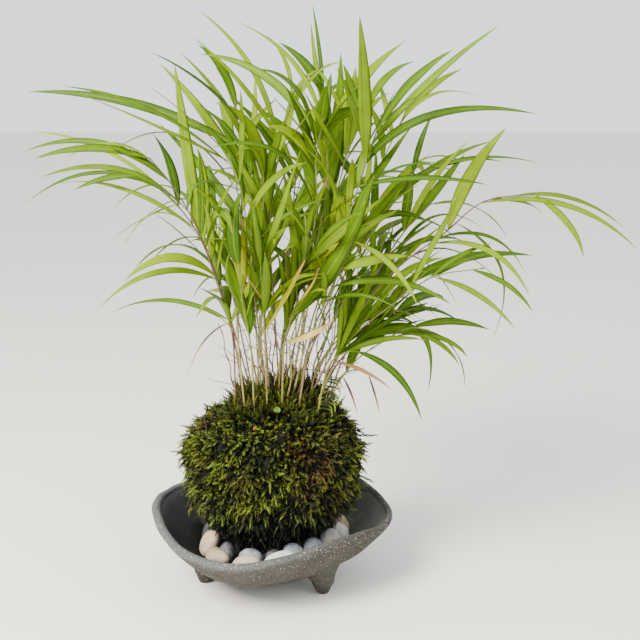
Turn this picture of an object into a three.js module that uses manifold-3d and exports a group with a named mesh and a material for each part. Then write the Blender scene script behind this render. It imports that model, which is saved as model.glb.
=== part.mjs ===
// A kokedama: a clump of Japanese forest grass growing out of a moss covered ball of soil, which rests
// on pebbles in a small stoneware dish with three feet. Millimetres, +Z up, the viewer is on the -Y side.
import * as THREE from 'three';
import Module from 'manifold-3d';

const wasm = await Module();
wasm.setup();

// Driving dimensions of the dish, taken from its axis at the height of the table.
// The lip is a circle with three low corners that lean out. It stands higher at the back, swells up
// a little at the front, and is thicker at the front left than at the back right.
const RIM_RADIUS = 67.4;
const RIM_LOBE = 2.4;
const RIM_HEIGHT = 40.3;
const RIM_SWAY = 4.2;
const RIM_TILT = 5.3;
const LOBE_TURN = degrees(-20.5);
const RIM_SWELL = 3.2;
const SWELL_TURN = degrees(-3);
const LIP_HALF = 2.2;
const LIP_VARY = 0.5;
const LIP_TURN = degrees(-35);
const DISH_UNDERSIDE = 3.9;
const DISH_FLOOR = 9.5;
const BOWL_POWER = 3;
const BOWL_SIDES = 42;
const WALL_STEPS = [0.28, 0.5, 0.66, 0.79, 0.9, 1];
const LIP_BENDS = [degrees(45), degrees(90), degrees(135)];
const FEET = [[38.8, degrees(-71)], [41, degrees(48)], [41, degrees(168)]];
const FOOT_SIDES = 10;
const FOOT_LEVELS = [[3.3, 0], [4.1, 1.2], [4.9, 3.6], [6.4, 6.6]];
const FOOT_FLARE = 9;
const FOOT_SUNK = 1.6;

// Driving dimensions of the ball of soil and of the moss on it.
// Its widest level is at BALL_HEIGHT; a body is half as wide as (wide), and reaches (over) and (under)
// that level. The shoulders above are full, the belly below is rounder.
const BALL_X = 1;
const BALL_HEIGHT = 63;
const SOIL = { wide: 44, over: 30, under: 34.5, lift: 5, sides: 18, levels: 10 };
const MOSS = { wide: 49.5, over: 35.8, under: 41, lift: 8.5, sides: 46, levels: 22 };
const SHOULDER_POWER = 3.2;
const BELLY_POWER = 1.95;
const CROWN = { x: 11, y: 2, spread: 26 };
const TUFTS_GROWN = { count: 90, turn: 2.39996, stray: 0.5, least: 0.8, more: 4, wide: 0.12, wider: 0.08 };
const TUFTS_PRESSED = { below: -0.35, share: 0.35 };
const FIT_GAP = 0.35;

// Driving dimensions of the grass.
const CULM_FOOT = 0.85;
const CULM_TOP = 0.5;
const CULM_SIDES = 4;
const HOLE_SIDES = 4;
const ROOT_DEPTH = 20;
const COLLAR_RISE = 2;
const HOLE_OVER = 4;
const LEAN_UPRIGHT = 0.72;
const BLADE_THICK = 0.66;
const BLADE_STEPS = [0, 0.12, 0.34, 0.6, 0.83];
const BLADE_GAP = 0.28;
const BLADE_FORM = { foot: 0.12, swell: 1.85, taper: 0.8, bendLeast: 0.3, bendMost: 0.7 };
const NUDGES = [0, 7, -7, 14, -14, 21, -21, 29, -29, 38, -38, 48, -48];
const TURN_PER_NUDGE = 0.018;

// The eye that the grass is laid out for: a place on the plane through the axis is what it sees there,
// and a depth carries that place along the line of sight, behind the plane or in front of it.
const EYE = { x: 29, y: -640, z: 282 };

function degrees(angle) {
  return (angle * Math.PI) / 180;
}

// A small generator of repeatable draws from 0 to 1.
function drawsFrom(seed) {
  let state = seed >>> 0;
  return () => {
    state = (state + 0x6d2b79f5) >>> 0;
    let mixed = Math.imul(state ^ (state >>> 15), state | 1);
    mixed ^= mixed + Math.imul(mixed ^ (mixed >>> 7), mixed | 61);
    return ((mixed ^ (mixed >>> 14)) >>> 0) / 4294967296;
  };
}

function point(x, y, z) {
  return new THREE.Vector3(x, y, z);
}

function seen(x, z, depth) {
  const reach = (depth - EYE.y) / -EYE.y;
  return point(EYE.x + (x - EYE.x) * reach, depth, EYE.z + (z - EYE.z) * reach);
}

// Closed solids from rings of points, with a point or a flat cap at each end.
function solid(points, faces) {
  const vertProperties = new Float32Array(points.flatMap((p) => [p.x, p.y, p.z]));
  const triVerts = new Uint32Array(faces.flat());
  return new wasm.Manifold(new wasm.Mesh({ numProp: 3, vertProperties, triVerts }));
}

function lofted(rings, start, end) {
  const points = rings.flat();
  const sides = rings[0].length;
  const faces = [];
  for (let i = 0; i + 1 < rings.length; i += 1) {
    for (let k = 0; k < sides; k += 1) {
      const a = i * sides + k;
      const b = i * sides + ((k + 1) % sides);
      faces.push([a, b, b + sides], [a, b + sides, a + sides]);
    }
  }
  const last = (rings.length - 1) * sides;
  points.push(start, end);
  for (let k = 0; k < sides; k += 1) {
    const next = (k + 1) % sides;
    faces.push([points.length - 2, next, k], [points.length - 1, last + k, last + next]);
  }
  return solid(points, faces);
}

// The dish: how far out and how high its lip is, and the two faces of its wall.
// An angle is measured from the front, -Y, towards +X.
function rimAt(turn) {
  const lobe = Math.cos(3 * (turn - LOBE_TURN));
  const swell = Math.max(0, Math.cos(turn - SWELL_TURN)) ** 2;
  return {
    radius: RIM_RADIUS + RIM_LOBE * lobe,
    height: RIM_HEIGHT - RIM_SWAY * lobe - RIM_TILT * Math.cos(turn) + RIM_SWELL * swell,
    half: LIP_HALF + LIP_VARY * Math.cos(turn - LIP_TURN),
  };
}

function around(turn, radius, z) {
  return point(radius * Math.sin(turn), -radius * Math.cos(turn), z);
}

// The face is 1 for the outside of the wall and -1 for the inside.
function bowlHeight(turn, radius, bottom, face) {
  const rim = rimAt(turn);
  const share = radius / (rim.radius + face * rim.half);
  return bottom + (rim.height - rim.half - bottom) * share ** BOWL_POWER;
}

function bowlFloor(x, y) {
  return bowlHeight(Math.atan2(x, -y), Math.hypot(x, y), DISH_FLOOR, -1);
}

function bowl() {
  const places = WALL_STEPS.map((step) => ({ step, bottom: DISH_UNDERSIDE, face: 1 }));
  LIP_BENDS.forEach((bend) => places.push({ bend }));
  [...WALL_STEPS].reverse().forEach((step) => places.push({ step, bottom: DISH_FLOOR, face: -1 }));
  const rings = places.map((place) => {
    const ring = [];
    for (let k = 0; k < BOWL_SIDES; k += 1) {
      const turn = (2 * Math.PI * k) / BOWL_SIDES;
      const rim = rimAt(turn);
      if (place.bend !== undefined) {
        const out = rim.radius + rim.half * Math.cos(place.bend);
        ring.push(around(turn, out, rim.height - rim.half * (1 - Math.sin(place.bend))));
      } else {
        const out = place.step * (rim.radius + place.face * rim.half);
        ring.push(around(turn, out, bowlHeight(turn, out, place.bottom, place.face)));
      }
    }
    return ring;
  });
  return lofted(rings, point(0, 0, DISH_UNDERSIDE), point(0, 0, DISH_FLOOR));
}

// One foot: a flat sole, a rounded edge and a flare that runs into the wall of the bowl.
function foot([out, turn]) {
  const centre = around(turn, out, 0);
  const circle = (radius, height) => {
    const ring = [];
    for (let k = 0; k < FOOT_SIDES; k += 1) {
      const angle = (2 * Math.PI * k) / FOOT_SIDES;
      const x = centre.x + radius * Math.cos(angle);
      const y = centre.y + radius * Math.sin(angle);
      ring.push(point(x, y, height(x, y)));
    }
    return ring;
  };
  const wall = (x, y) =>
    bowlHeight(Math.atan2(x, -y), Math.hypot(x, y), DISH_UNDERSIDE, 1) + FOOT_SUNK;
  const rings = FOOT_LEVELS.map(([radius, z]) => circle(radius, () => z));
  rings.push(circle(FOOT_FLARE, wall));
  return lofted(rings, point(centre.x, centre.y, 0), point(centre.x, centre.y, wall(centre.x, centre.y)));
}

function dish() {
  return FEET.reduce((whole, place) => whole.add(foot(place)), bowl());
}

// The ball: a squat round body, which rises to a crown where the grass leaves it.
function crownLift(x, y, lift) {
  const away = Math.hypot(x - CROWN.x, y - CROWN.y) / CROWN.spread;
  return lift * Math.exp(-(away ** 4));
}

function ballPoint(turn, tilt, body, relief) {
  const bend = 2 / (tilt > 0 ? SHOULDER_POWER : BELLY_POWER);
  const out = Math.abs(Math.cos(tilt)) ** bend;
  const up = Math.sign(Math.sin(tilt)) * Math.abs(Math.sin(tilt)) ** bend;
  const grown = relief(turn, tilt);
  const x = BALL_X + (body.wide + grown) * out * Math.sin(turn);
  const y = -(body.wide + grown) * out * Math.cos(turn);
  const tall = up > 0 ? body.over : body.under;
  const top = up > 0 ? crownLift(x, y, body.lift) * up : 0;
  return point(x, y, BALL_HEIGHT + (tall + grown) * up + top);
}

function ball(body, relief) {
  const { sides, levels } = body;
  const rings = [];
  for (let i = 1; i < levels; i += 1) {
    const tilt = -Math.PI / 2 + (Math.PI * i) / levels;
    const ring = [];
    for (let k = 0; k < sides; k += 1) {
      ring.push(ballPoint((2 * Math.PI * k) / sides, tilt, body, relief));
    }
    rings.push(ring);
  }
  return lofted(rings, ballPoint(0, -Math.PI / 2, body, relief), ballPoint(0, Math.PI / 2, body, relief));
}

// The relief of the moss: soft tufts a finger wide, flatter below, where the ball rests on its pebbles.
function mossTufts() {
  const draw = drawsFrom(41);
  const tufts = [];
  for (let i = 0; i < TUFTS_GROWN.count; i += 1) {
    const up = 1 - (2 * (i + 0.5)) / TUFTS_GROWN.count;
    const turn = i * TUFTS_GROWN.turn + TUFTS_GROWN.stray * draw();
    const out = Math.sqrt(1 - up * up);
    const pressed = up < TUFTS_PRESSED.below ? TUFTS_PRESSED.share : 1;
    tufts.push({
      way: point(out * Math.sin(turn), -out * Math.cos(turn), up),
      tall: (TUFTS_GROWN.least + TUFTS_GROWN.more * draw()) * pressed,
      wide: TUFTS_GROWN.wide + TUFTS_GROWN.wider * draw(),
    });
  }
  return tufts;
}

const TUFTS = mossTufts();

function mossRelief(turn, tilt) {
  const way = point(Math.cos(tilt) * Math.sin(turn), -Math.cos(tilt) * Math.cos(turn), Math.sin(tilt));
  const raised = TUFTS.map((tuft) => tuft.tall * Math.exp(-((tuft.way.distanceTo(way) / tuft.wide) ** 2)));
  return Math.max(...raised);
}

// The grass: each stem stands on the crown at (foot), runs up through the places in (way), and bears
// leaves. A place is [x, z, depth] as the eye sees it. A leaf is [height on the stem, x and z of its
// middle, x and z of its tip, depth of its tip from its own foot, width].
const STEMS = {
  stem_left_long: {
    foot: [-12, -6],
    way: [[-20, 142, -6], [-29, 174, -9], [-40, 205, -12], [-52, 226, -14], [-64, 241, -16]],
    leaves: [
      [198, -45, 259, -49, 291, 24, 6.8],
      [211, -82, 235, -124, 230, -34, 5.5],
      [228, -92, 249, -132, 244, 28, 4],
      [240, -97, 246, -127, 240, -10, 5.1],
    ],
  },
  stem_left_behind: {
    foot: [-10, 10],
    way: [[-20, 147, 14], [-30, 183, 20], [-44, 208, 25], [-58, 224, 29], [-72, 232, 32]],
    leaves: [
      [149, -58, 162, -89, 154, 30, 3.7],
      [202, -86, 226, -114, 227, 38, 3.5],
      [210, -88, 245, -129, 255, 40, 2.6],
      [215, -64, 210, -85, 197, 34, 2.9],
      [231, -104, 231, -132, 216, 20, 3.1],
    ],
  },
  stem_left_low: {
    foot: [-18, -13],
    way: [[-20, 141, -16], [-24, 159, -25], [-30, 180, -36], [-38, 199, -45]],
    leaves: [
      [143, -24, 150, -34, 155, -46, 2.9],
      [149, -32, 147, -46, 119, -22, 2],
      [159, -29, 164, -38, 169, -52, 4],
      [173, -60, 178, -95, 157, -34, 4.2],
      [182, -46, 198, -61, 210, -60, 2.4],
      [197, -60, 211, -79, 193, -48, 2.6],
    ],
  },
  stem_left_upright: {
    foot: [-12, -20],
    way: [[-17, 139, -24], [-17, 174, -25], [-12, 202, -30], [-14, 222, -33], [-21, 243, -36]],
    leaves: [
      [223, -33, 228, -40, 223, -58, 3.3],
      [235, -68, 269, -110, 279, -52, 3.3],
      [238, -62, 259, -98, 274, -26, 2.4],
      [242, -42, 263, -63, 279, -62, 2.6],
    ],
  },
  stem_left_tall: {
    foot: [-6, 3],
    way: [[-11, 147, 6], [-8, 192, 9], [-8, 219, 11], [-14, 246, 14], [-17, 273, 17]],
    leaves: [
      [197, -31, 230, -58, 259, 62, 5.7],
      [218, -32, 262, -57, 291, 30, 6.2],
      [246, -72, 270, -129, 276, 36, 6.2],
      [271, -21, 281, -27, 289, 44, 2.9],
    ],
  },
  stem_middle_left: {
    foot: [-7, -14],
    way: [[-4, 147, -18], [-2, 185, -20], [-2, 218, -23], [-1, 245, -26]],
    leaves: [
      [184, 4, 196, 3, 193, -60, 3.7],
      [218, -22, 269, -46, 297, -26, 5.1],
      [229, 12, 259, 16, 278, 48, 3.3],
      [243, -32, 279, -62, 297, -58, 3.1],
    ],
  },
  stem_middle: {
    foot: [0, 4],
    way: [[-2, 157, 4], [0, 198, 4], [3, 225, 5], [8, 247, 6], [14, 273, 8]],
    leaves: [
      [196, 14, 207, 26, 211, -34, 4.4],
      [240, -8, 289, -36, 319, 20, 3.5],
      [247, -10, 276, -39, 305, -30, 2.9],
      [273, 10, 293, 0, 306, 40, 2.6],
    ],
  },
  stem_middle_front: {
    foot: [2, -8],
    way: [[15, 162, -18], [22, 187, -23], [27, 211, -27], [27, 242, -32], [31, 262, -35]],
    leaves: [
      [209, 4, 245, -31, 246, -46, 4.4],
      [243, 14, 280, -5, 288, -42, 5.1],
      [249, 0, 284, -36, 296, 36, 5.1],
      [259, 16, 290, -16, 313, 14, 3.1],
    ],
  },
  stem_middle_back: {
    foot: [8, 8],
    way: [[21, 162, 22], [28, 197, 26], [33, 229, 28], [32, 253, 30], [31, 274, 32]],
    leaves: [
      [215, 39, 265, 40, 297, 40, 8.1],
      [253, 54, 285, 75, 303, 34, 7.3],
      [265, 27, 289, 24, 313, 58, 3.3],
      [273, 21, 291, 7, 302, 44, 6.2],
      [273, 29, 295, 25, 322, 8, 2.4],
    ],
  },
  stem_right_upright: {
    foot: [12, -3],
    way: [[22, 157, -6], [31, 192, -8], [39, 225, -9], [46, 250, -10], [54, 266, -11]],
    leaves: [
      [208, 78, 259, 147, 264, -32, 6.4],
      [237, 30, 259, 20, 277, -58, 4.4],
      [251, 33, 281, 24, 291, 54, 2.6],
      [265, 66, 285, 80, 292, 40, 4.4],
    ],
  },
  stem_right_tall: {
    foot: [13, -15],
    way: [[25, 152, -22], [38, 189, -27], [48, 219, -31], [54, 239, -34], [60, 256, -37]],
    leaves: [
      [221, 70, 235, 93, 238, -56, 4.2],
      [225, 84, 230, 121, 226, -24, 4.4],
      [238, 53, 277, 50, 316, -34, 7],
      [247, 88, 282, 125, 311, -14, 4],
      [255, 77, 280, 100, 298, -48, 7.7],
    ],
  },
  stem_right_thin: {
    foot: [17, 7],
    way: [[30, 152, 12], [44, 190, 17], [55, 218, 21], [65, 243, 25], [74, 263, 28]],
    leaves: [
      [219, 38, 243, 20, 259, 62, 5.5],
      [251, 64, 271, 60, 283, 48, 3.7],
      [257, 88, 274, 114, 274, 12, 3.3],
      [262, 88, 278, 105, 288, 40, 5.1],
    ],
  },
  stem_right_back: {
    foot: [14, 17],
    way: [[32, 152, 32], [48, 187, 41], [66, 214, 50], [80, 231, 57]],
    leaves: [
      [193, 70, 227, 90, 243, 66, 5.5],
      [216, 98, 240, 124, 250, 52, 4.4],
      [229, 108, 240, 148, 238, 20, 4.4],
    ],
  },
  stem_right_arching: {
    foot: [23, -6],
    way: [[46, 149, -12], [72, 180, -17], [98, 200, -21], [119, 217, -25], [146, 221, -28]],
    leaves: [
      [193, 124, 189, 146, 164, -28, 4],
      [197, 124, 197, 143, 177, 26, 2.4],
      [201, 112, 233, 130, 257, 40, 7.7],
      [205, 128, 183, 126, 140, 16, 2.6],
      [216, 170, 213, 205, 190, -22, 3.5],
      [218, 143, 216, 151, 210, 44, 2.4],
      [220, 166, 219, 197, 202, 24, 2.9],
      [221, 167, 203, 175, 186, -34, 4],
    ],
  },
  stem_right_second: {
    foot: [22, 9],
    way: [[44, 152, 22], [60, 177, 30], [76, 201, 37], [90, 216, 43]],
    leaves: [
      [181, 92, 197, 112, 193, 60, 4.4],
      [203, 97, 229, 108, 243, 60, 5.5],
      [215, 112, 215, 132, 198, 36, 4],
    ],
  },
  stem_right_low_long: {
    foot: [26, -14],
    way: [[44, 137, -20], [66, 157, -25], [92, 175, -30], [120, 180, -34]],
    leaves: [
      [175, 117, 165, 139, 145, -36, 3.3],
      [179, 138, 167, 148, 155, -20, 3.3],
    ],
  },
  stem_right_low: {
    foot: [21, 1],
    way: [[32, 131, 4], [44, 144, 7], [57, 157, 9], [69, 166, 11]],
    leaves: [
      [147, 66, 156, 84, 149, 44, 4.4],
      [165, 106, 185, 147, 187, 14, 5.7],
    ],
  },
  stem_right_front: {
    foot: [17, -20],
    way: [[24, 141, -32], [32, 161, -42], [40, 179, -51], [48, 197, -58]],
    leaves: [
      [161, 50, 165, 71, 158, -30, 2.9],
      [169, 74, 172, 103, 159, -18, 4.4],
      [195, 66, 184, 84, 158, -24, 3.3],
    ],
  },
  stem_right_short: {
    foot: [29, 4],
    way: [[40, 127, 8], [52, 139, 12], [63, 148, 15], [73, 155, 18]],
    leaves: [
      [141, 62, 145, 74, 144, 40, 3.3],
      [147, 83, 145, 90, 108, 20, 4],
      [154, 90, 157, 109, 148, 38, 2.9],
    ],
  },
  stem_right_shortest: {
    foot: [31, -7],
    way: [[48, 126, -9], [64, 138, -11], [79, 146, -13], [90, 145, -15]],
    leaves: [
      [146, 102, 137, 111, 112, 24, 4.4],
      [144, 104, 137, 112, 129, -30, 3.3],
    ],
  },
  stem_right_dry: {
    foot: [27, -21],
    way: [[34, 124, -27], [41, 131, -31], [48, 133, -34]],
    leaves: [
      [127, 54, 121, 70, 110, -22, 2.6],
      [132, 68, 140, 89, 139, -20, 4.4],
      [133, 68, 123, 87, 92, -14, 4],
    ],
  },
  stem_dead: {
    foot: [34, 2],
    way: [[42, 119, 2], [50, 122, 3], [56, 120, 4]],
    leaves: [
      [118.5, 47, 107, 50.5, 95, -26, 2],
      [130, 60, 108, 63, 96, 16, 2],
    ],
  },
  stem_front: {
    foot: [8, -21],
    way: [[9, 137, -32], [12, 149, -39], [16, 161, -45]],
    leaves: [
      [138, 25, 143, 37, 151, -30, 5],
      [153, 38, 185, 54, 218, -24, 9],
      [159, 24, 170, 28, 180, -56, 3.3],
    ],
  },
  stem_front_second: {
    foot: [6, -12],
    way: [[8, 142, -22], [15, 165, -30], [22, 186, -37]],
    leaves: [
      [171, 28, 187, 30, 203, 50, 4.4],
      [182, 36, 202, 52, 211, -56, 5.5],
    ],
  },
  stem_front_left: {
    foot: [-7, -23],
    way: [[-10, 135, -36], [-14, 159, -47], [-16, 181, -57]],
    leaves: [
      [157, -22, 173, -21, 189, -52, 2.6],
      [180, -19, 202, -14, 223, -16, 7.7],
    ],
  },
  stem_front_middle: {
    foot: [0, -21],
    way: [[-2, 139, -35], [-3, 162, -45], [-4, 183, -54]],
    leaves: [
      [144, 9, 163, 21, 185, -30, 6.8],
      [161, -10, 173, -22, 187, -24, 2.4],
      [181, -6, 201, -8, 217, -22, 5.7],
    ],
  },
};

// Stems on the side that the eye does not see: their foot on the crown, the top of the stem, how many
// leaves they bear and the seed of their draws. Their leaves spring from the two sides in turn.
const HIDDEN_STEMS = {
  stem_back_left: { foot: [-10, 20], top: [-34, 66, 190], leaves: 5, seed: 3 },
  stem_back_left_high: { foot: [-2, 13], top: [-22, 50, 232], leaves: 5, seed: 8 },
  stem_back_middle: { foot: [5, 22], top: [-4, 80, 206], leaves: 5, seed: 14 },
  stem_back_middle_high: { foot: [6, 15], top: [16, 54, 240], leaves: 5, seed: 23 },
  stem_back_right: { foot: [22, 21], top: [62, 80, 190], leaves: 5, seed: 31 },
  stem_back_right_high: { foot: [12, 25], top: [38, 84, 226], leaves: 5, seed: 37 },
  stem_back_low: { foot: [-3, 26], top: [-14, 72, 149], leaves: 5, seed: 45 },
  stem_back_low_right: { foot: [28, 15], top: [66, 60, 157], leaves: 5, seed: 52 },
};

function crownHeight(x, y) {
  const level = (Math.hypot(x - BALL_X, y) / MOSS.wide) ** SHOULDER_POWER;
  return BALL_HEIGHT + MOSS.over * (1 - level) ** (1 / SHOULDER_POWER) + crownLift(x, y, MOSS.lift);
}

// The centre line of a stem: a straight root end that stands in the soil, then an even curve.
function stemLine(foot, way) {
  const collar = point(foot[0], foot[1], crownHeight(foot[0], foot[1]) + COLLAR_RISE);
  const lean = way[0].clone().sub(collar).normalize();
  const down = lean.lerp(point(0, 0, 1), LEAN_UPRIGHT).normalize();
  const root = collar.clone().addScaledVector(down, -ROOT_DEPTH);
  const curve = new THREE.CatmullRomCurve3([collar, ...way], false, 'centripetal');
  const steps = way.length + 1;
  const line = curve.getPoints(steps);
  return { root, down, line: [root, ...line], curve };
}

function ringAt(centre, along, side, radius, sides) {
  const across = side.clone().addScaledVector(along, -side.dot(along)).normalize();
  const third = along.clone().cross(across);
  const ring = [];
  for (let k = 0; k < sides; k += 1) {
    const angle = (2 * Math.PI * k) / sides;
    const spoke = across.clone().multiplyScalar(radius * Math.cos(angle));
    ring.push(centre.clone().add(spoke).addScaledVector(third, radius * Math.sin(angle)));
  }
  return ring;
}

function culm(stem) {
  const line = stem.line;
  const rings = line.map((centre, i) => {
    const before = line[Math.max(i - 1, 0)];
    const after = line[Math.min(i + 1, line.length - 1)];
    const along = after.clone().sub(before).normalize();
    const radius = CULM_FOOT + ((CULM_TOP - CULM_FOOT) * i) / (line.length - 1);
    return ringAt(centre, along, point(1, 0, 0), radius, CULM_SIDES);
  });
  return lofted(rings, line[0], line[line.length - 1]);
}

// The plain hole that a stem stands in, through the moss and into the soil.
function hole(stem) {
  const radius = CULM_FOOT / Math.cos(Math.PI / HOLE_SIDES) + FIT_GAP;
  const start = stem.root.clone().addScaledVector(stem.down, -FIT_GAP);
  const end = stem.root.clone().addScaledVector(stem.down, ROOT_DEPTH + HOLE_OVER);
  const side = point(1, 0, 0);
  const rings = [start, end].map((centre) => ringAt(centre, stem.down, side, radius, HOLE_SIDES));
  return lofted(rings, start, end);
}

// A leaf blade: a curve from its foot on the stem through its middle to its tip, a shallow three
// cornered section with a keel below, widest at about a third of its length, and a fine point.
function bladeWidth(step) {
  const left = 1 - step;
  return BLADE_FORM.foot * left ** 2 + BLADE_FORM.swell * (1 - left ** 3) * left ** BLADE_FORM.taper;
}

function bladeCurve(leaf) {
  const first = leaf.foot.distanceTo(leaf.middle);
  const whole = first + leaf.middle.distanceTo(leaf.tip);
  const share = THREE.MathUtils.clamp(first / whole, BLADE_FORM.bendLeast, BLADE_FORM.bendMost);
  const bend = leaf.middle
    .clone()
    .addScaledVector(leaf.foot, -((1 - share) ** 2))
    .addScaledVector(leaf.tip, -(share ** 2))
    .multiplyScalar(1 / (2 * share * (1 - share)));
  return new THREE.QuadraticBezierCurve3(leaf.foot, bend, leaf.tip);
}

function blade(leaf, extra) {
  const curve = bladeCurve(leaf);
  const flat = leaf.tip.clone().sub(leaf.foot).cross(leaf.face).normalize();
  const rings = BLADE_STEPS.map((step) => {
    const centre = curve.getPoint(step);
    const along = curve.getTangent(step);
    const across = flat.clone().addScaledVector(along, -flat.dot(along)).normalize();
    const over = across.clone().cross(along).normalize();
    const half = (leaf.width * bladeWidth(step)) / 2 + extra;
    const left = centre.clone().addScaledVector(across, half).addScaledVector(over, extra);
    const right = centre.clone().addScaledVector(across, -half).addScaledVector(over, extra);
    const keel = centre.clone().addScaledVector(over, -BLADE_THICK - 2 * extra);
    return [left, keel, right];
  });
  return lofted(rings, leaf.foot, leaf.tip);
}

function stemPointAt(stem, height) {
  let best = stem.curve.getPoint(1);
  const trials = 200;
  for (let i = 0; i <= trials; i += 1) {
    const place = stem.curve.getPoint(i / trials);
    const reach = (place.y - EYE.y) / -EYE.y;
    if (EYE.z + (place.z - EYE.z) / reach >= height) {
      best = place;
      break;
    }
  }
  return best;
}

// A leaf that the eye sees, turned part way from lying flat towards the eye, and nudged in depth.
const TURNED = { least: 0.4, more: 0.4, flat: point(0, 0.15, 1), toEye: point(0, -1, 0.25) };

function seenLeaf(stem, row, draw) {
  const [height, middleX, middleZ, tipX, tipZ, depth, width] = row;
  const foot = stemPointAt(stem, height);
  const turned = TURNED.least + TURNED.more * draw();
  const face = TURNED.flat.clone().multiplyScalar(1 - turned).addScaledVector(TURNED.toEye, turned);
  return (nudge) => ({
    foot,
    middle: seen(middleX, middleZ, foot.y + (depth + nudge) / 2),
    tip: seen(tipX, tipZ, foot.y + depth + nudge),
    width,
    face,
  });
}

// A leaf of a hidden stem, which springs from one side, rises, and bends over outwards. A pair is the
// least and how much more a draw can add; (height) is what the leaf gains for its place on the stem.
const HIDDEN_LEAF = {
  length: [68, 34],
  swing: [26, 24],
  topSwing: 16,
  topShare: 0.97,
  rise: [0.16, 0.1],
  riseByHeight: 0.2,
  fall: [-0.34, 0.16],
  fallByHeight: 0.62,
  width: [3.4, 3.6],
  middle: 0.44,
  tip: 0.82,
  tilt: 0.35,
};

function hiddenLeaf(stem, side, share, heading, draw) {
  const drawn = ([least, more]) => least + more * draw();
  const foot = stem.curve.getPoint(share);
  const length = drawn(HIDDEN_LEAF.length);
  const swing = degrees(share > HIDDEN_LEAF.topShare ? HIDDEN_LEAF.topSwing : drawn(HIDDEN_LEAF.swing));
  const rise = drawn(HIDDEN_LEAF.rise) + HIDDEN_LEAF.riseByHeight * share;
  const fall = drawn(HIDDEN_LEAF.fall) + HIDDEN_LEAF.fallByHeight * share;
  const width = drawn(HIDDEN_LEAF.width);
  return (nudge) => {
    const angle = heading + side * swing + nudge * TURN_PER_NUDGE;
    const out = point(Math.cos(angle), Math.sin(angle), 0);
    const middle = foot.clone().addScaledVector(out, HIDDEN_LEAF.middle * length);
    const tip = foot.clone().addScaledVector(out, HIDDEN_LEAF.tip * length);
    middle.z += rise * length;
    tip.z += fall * length;
    return { foot, middle, tip, width, face: point(HIDDEN_LEAF.tilt * out.x, HIDDEN_LEAF.tilt * out.y, 1) };
  };
}

function seenStems() {
  const draw = drawsFrom(7);
  return Object.entries(STEMS).map(([name, row]) => {
    const stem = stemLine(row.foot, row.way.map(([x, z, depth]) => seen(x, z, depth)));
    stem.name = name;
    stem.leaves = row.leaves.map((leaf) => seenLeaf(stem, leaf, draw));
    return stem;
  });
}

const HIDDEN_STEM = { arch: 0.07, steps: 5, lowestLeaf: 0.46 };

function hiddenStems() {
  return Object.entries(HIDDEN_STEMS).map(([name, row]) => {
    const draw = drawsFrom(row.seed);
    const [footX, footY] = row.foot;
    const top = point(...row.top);
    const start = point(footX, footY, crownHeight(footX, footY));
    const middle = start.clone().lerp(top, 0.5);
    middle.z += HIDDEN_STEM.arch * start.distanceTo(top);
    const stem = stemLine(row.foot, [middle, top]);
    stem.line = [stem.root, ...stem.curve.getPoints(HIDDEN_STEM.steps)];
    stem.name = name;
    const heading = Math.atan2(top.y - footY, top.x - footX);
    stem.leaves = [];
    for (let i = 0; i < row.leaves; i += 1) {
      const share = HIDDEN_STEM.lowestLeaf + ((1 - HIDDEN_STEM.lowestLeaf) * i) / (row.leaves - 1);
      stem.leaves.push(hiddenLeaf(stem, i % 2 ? 1 : -1, share, heading, draw));
    }
    return stem;
  });
}

function boxesMeet(one, other) {
  return [0, 1, 2].every((i) => one.min[i] < other.max[i] && other.min[i] < one.max[i]);
}

function clear(shape, others) {
  const box = shape.boundingBox();
  return others.every((other) => !boxesMeet(box, other.box) || shape.intersect(other.shape).isEmpty());
}

function obstacle(name, shape) {
  return { name, shape, box: shape.boundingBox() };
}

// Every stem with its leaves: a leaf that would meet another stem's is nudged until it is clear of it.
function growGrass(stems, ground) {
  const placed = [...ground, ...stems.map((stem) => obstacle(stem.name, culm(stem)))];
  return stems.map((stem) => {
    let whole = culm(stem);
    const others = placed.filter((other) => other.name !== stem.name);
    stem.leaves.forEach((leaf) => {
      const nudge = NUDGES.find((offset) => clear(blade(leaf(offset), BLADE_GAP), others)) ?? 0;
      const grown = blade(leaf(nudge), 0);
      whole = whole.add(grown);
      placed.push(obstacle(stem.name, grown));
    });
    return { name: stem.name, shape: whole };
  });
}

// A curled frond of moss that stands up on the right of the crown.
const FROND = {
  foot: [29, 97, 2],
  middle: [36, 114, 1],
  tip: [46, 126, -2],
  face: [-0.3, -1, 0.3],
  width: 6.5,
  thicker: 0.5,
};

function curledFrond() {
  const leaf = {
    foot: seen(...FROND.foot),
    middle: seen(...FROND.middle),
    tip: seen(...FROND.tip),
    width: FROND.width,
    face: point(...FROND.face),
  };
  return blade(leaf, FROND.thicker);
}

// A seedling with three round leaflets on the front of the crown.
const SEEDLING = {
  x: 5.5,
  y: -25,
  tall: 8,
  sunk: 3,
  lean: -0.6,
  stalk: 0.5,
  hole: 1,
  leaflet: 1.9,
  thick: 0.6,
  perch: 0.75,
  cupped: 0.35,
  turns: [degrees(-110), degrees(5), degrees(170)],
  leafletSides: 8,
  stalkSides: 6,
};

function seedlingLine() {
  const ground = crownHeight(SEEDLING.x, SEEDLING.y);
  const base = point(SEEDLING.x, SEEDLING.y, ground - SEEDLING.sunk);
  const top = point(SEEDLING.x, SEEDLING.y + SEEDLING.lean, ground + SEEDLING.tall);
  return { base, top, along: top.clone().sub(base).normalize() };
}

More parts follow.
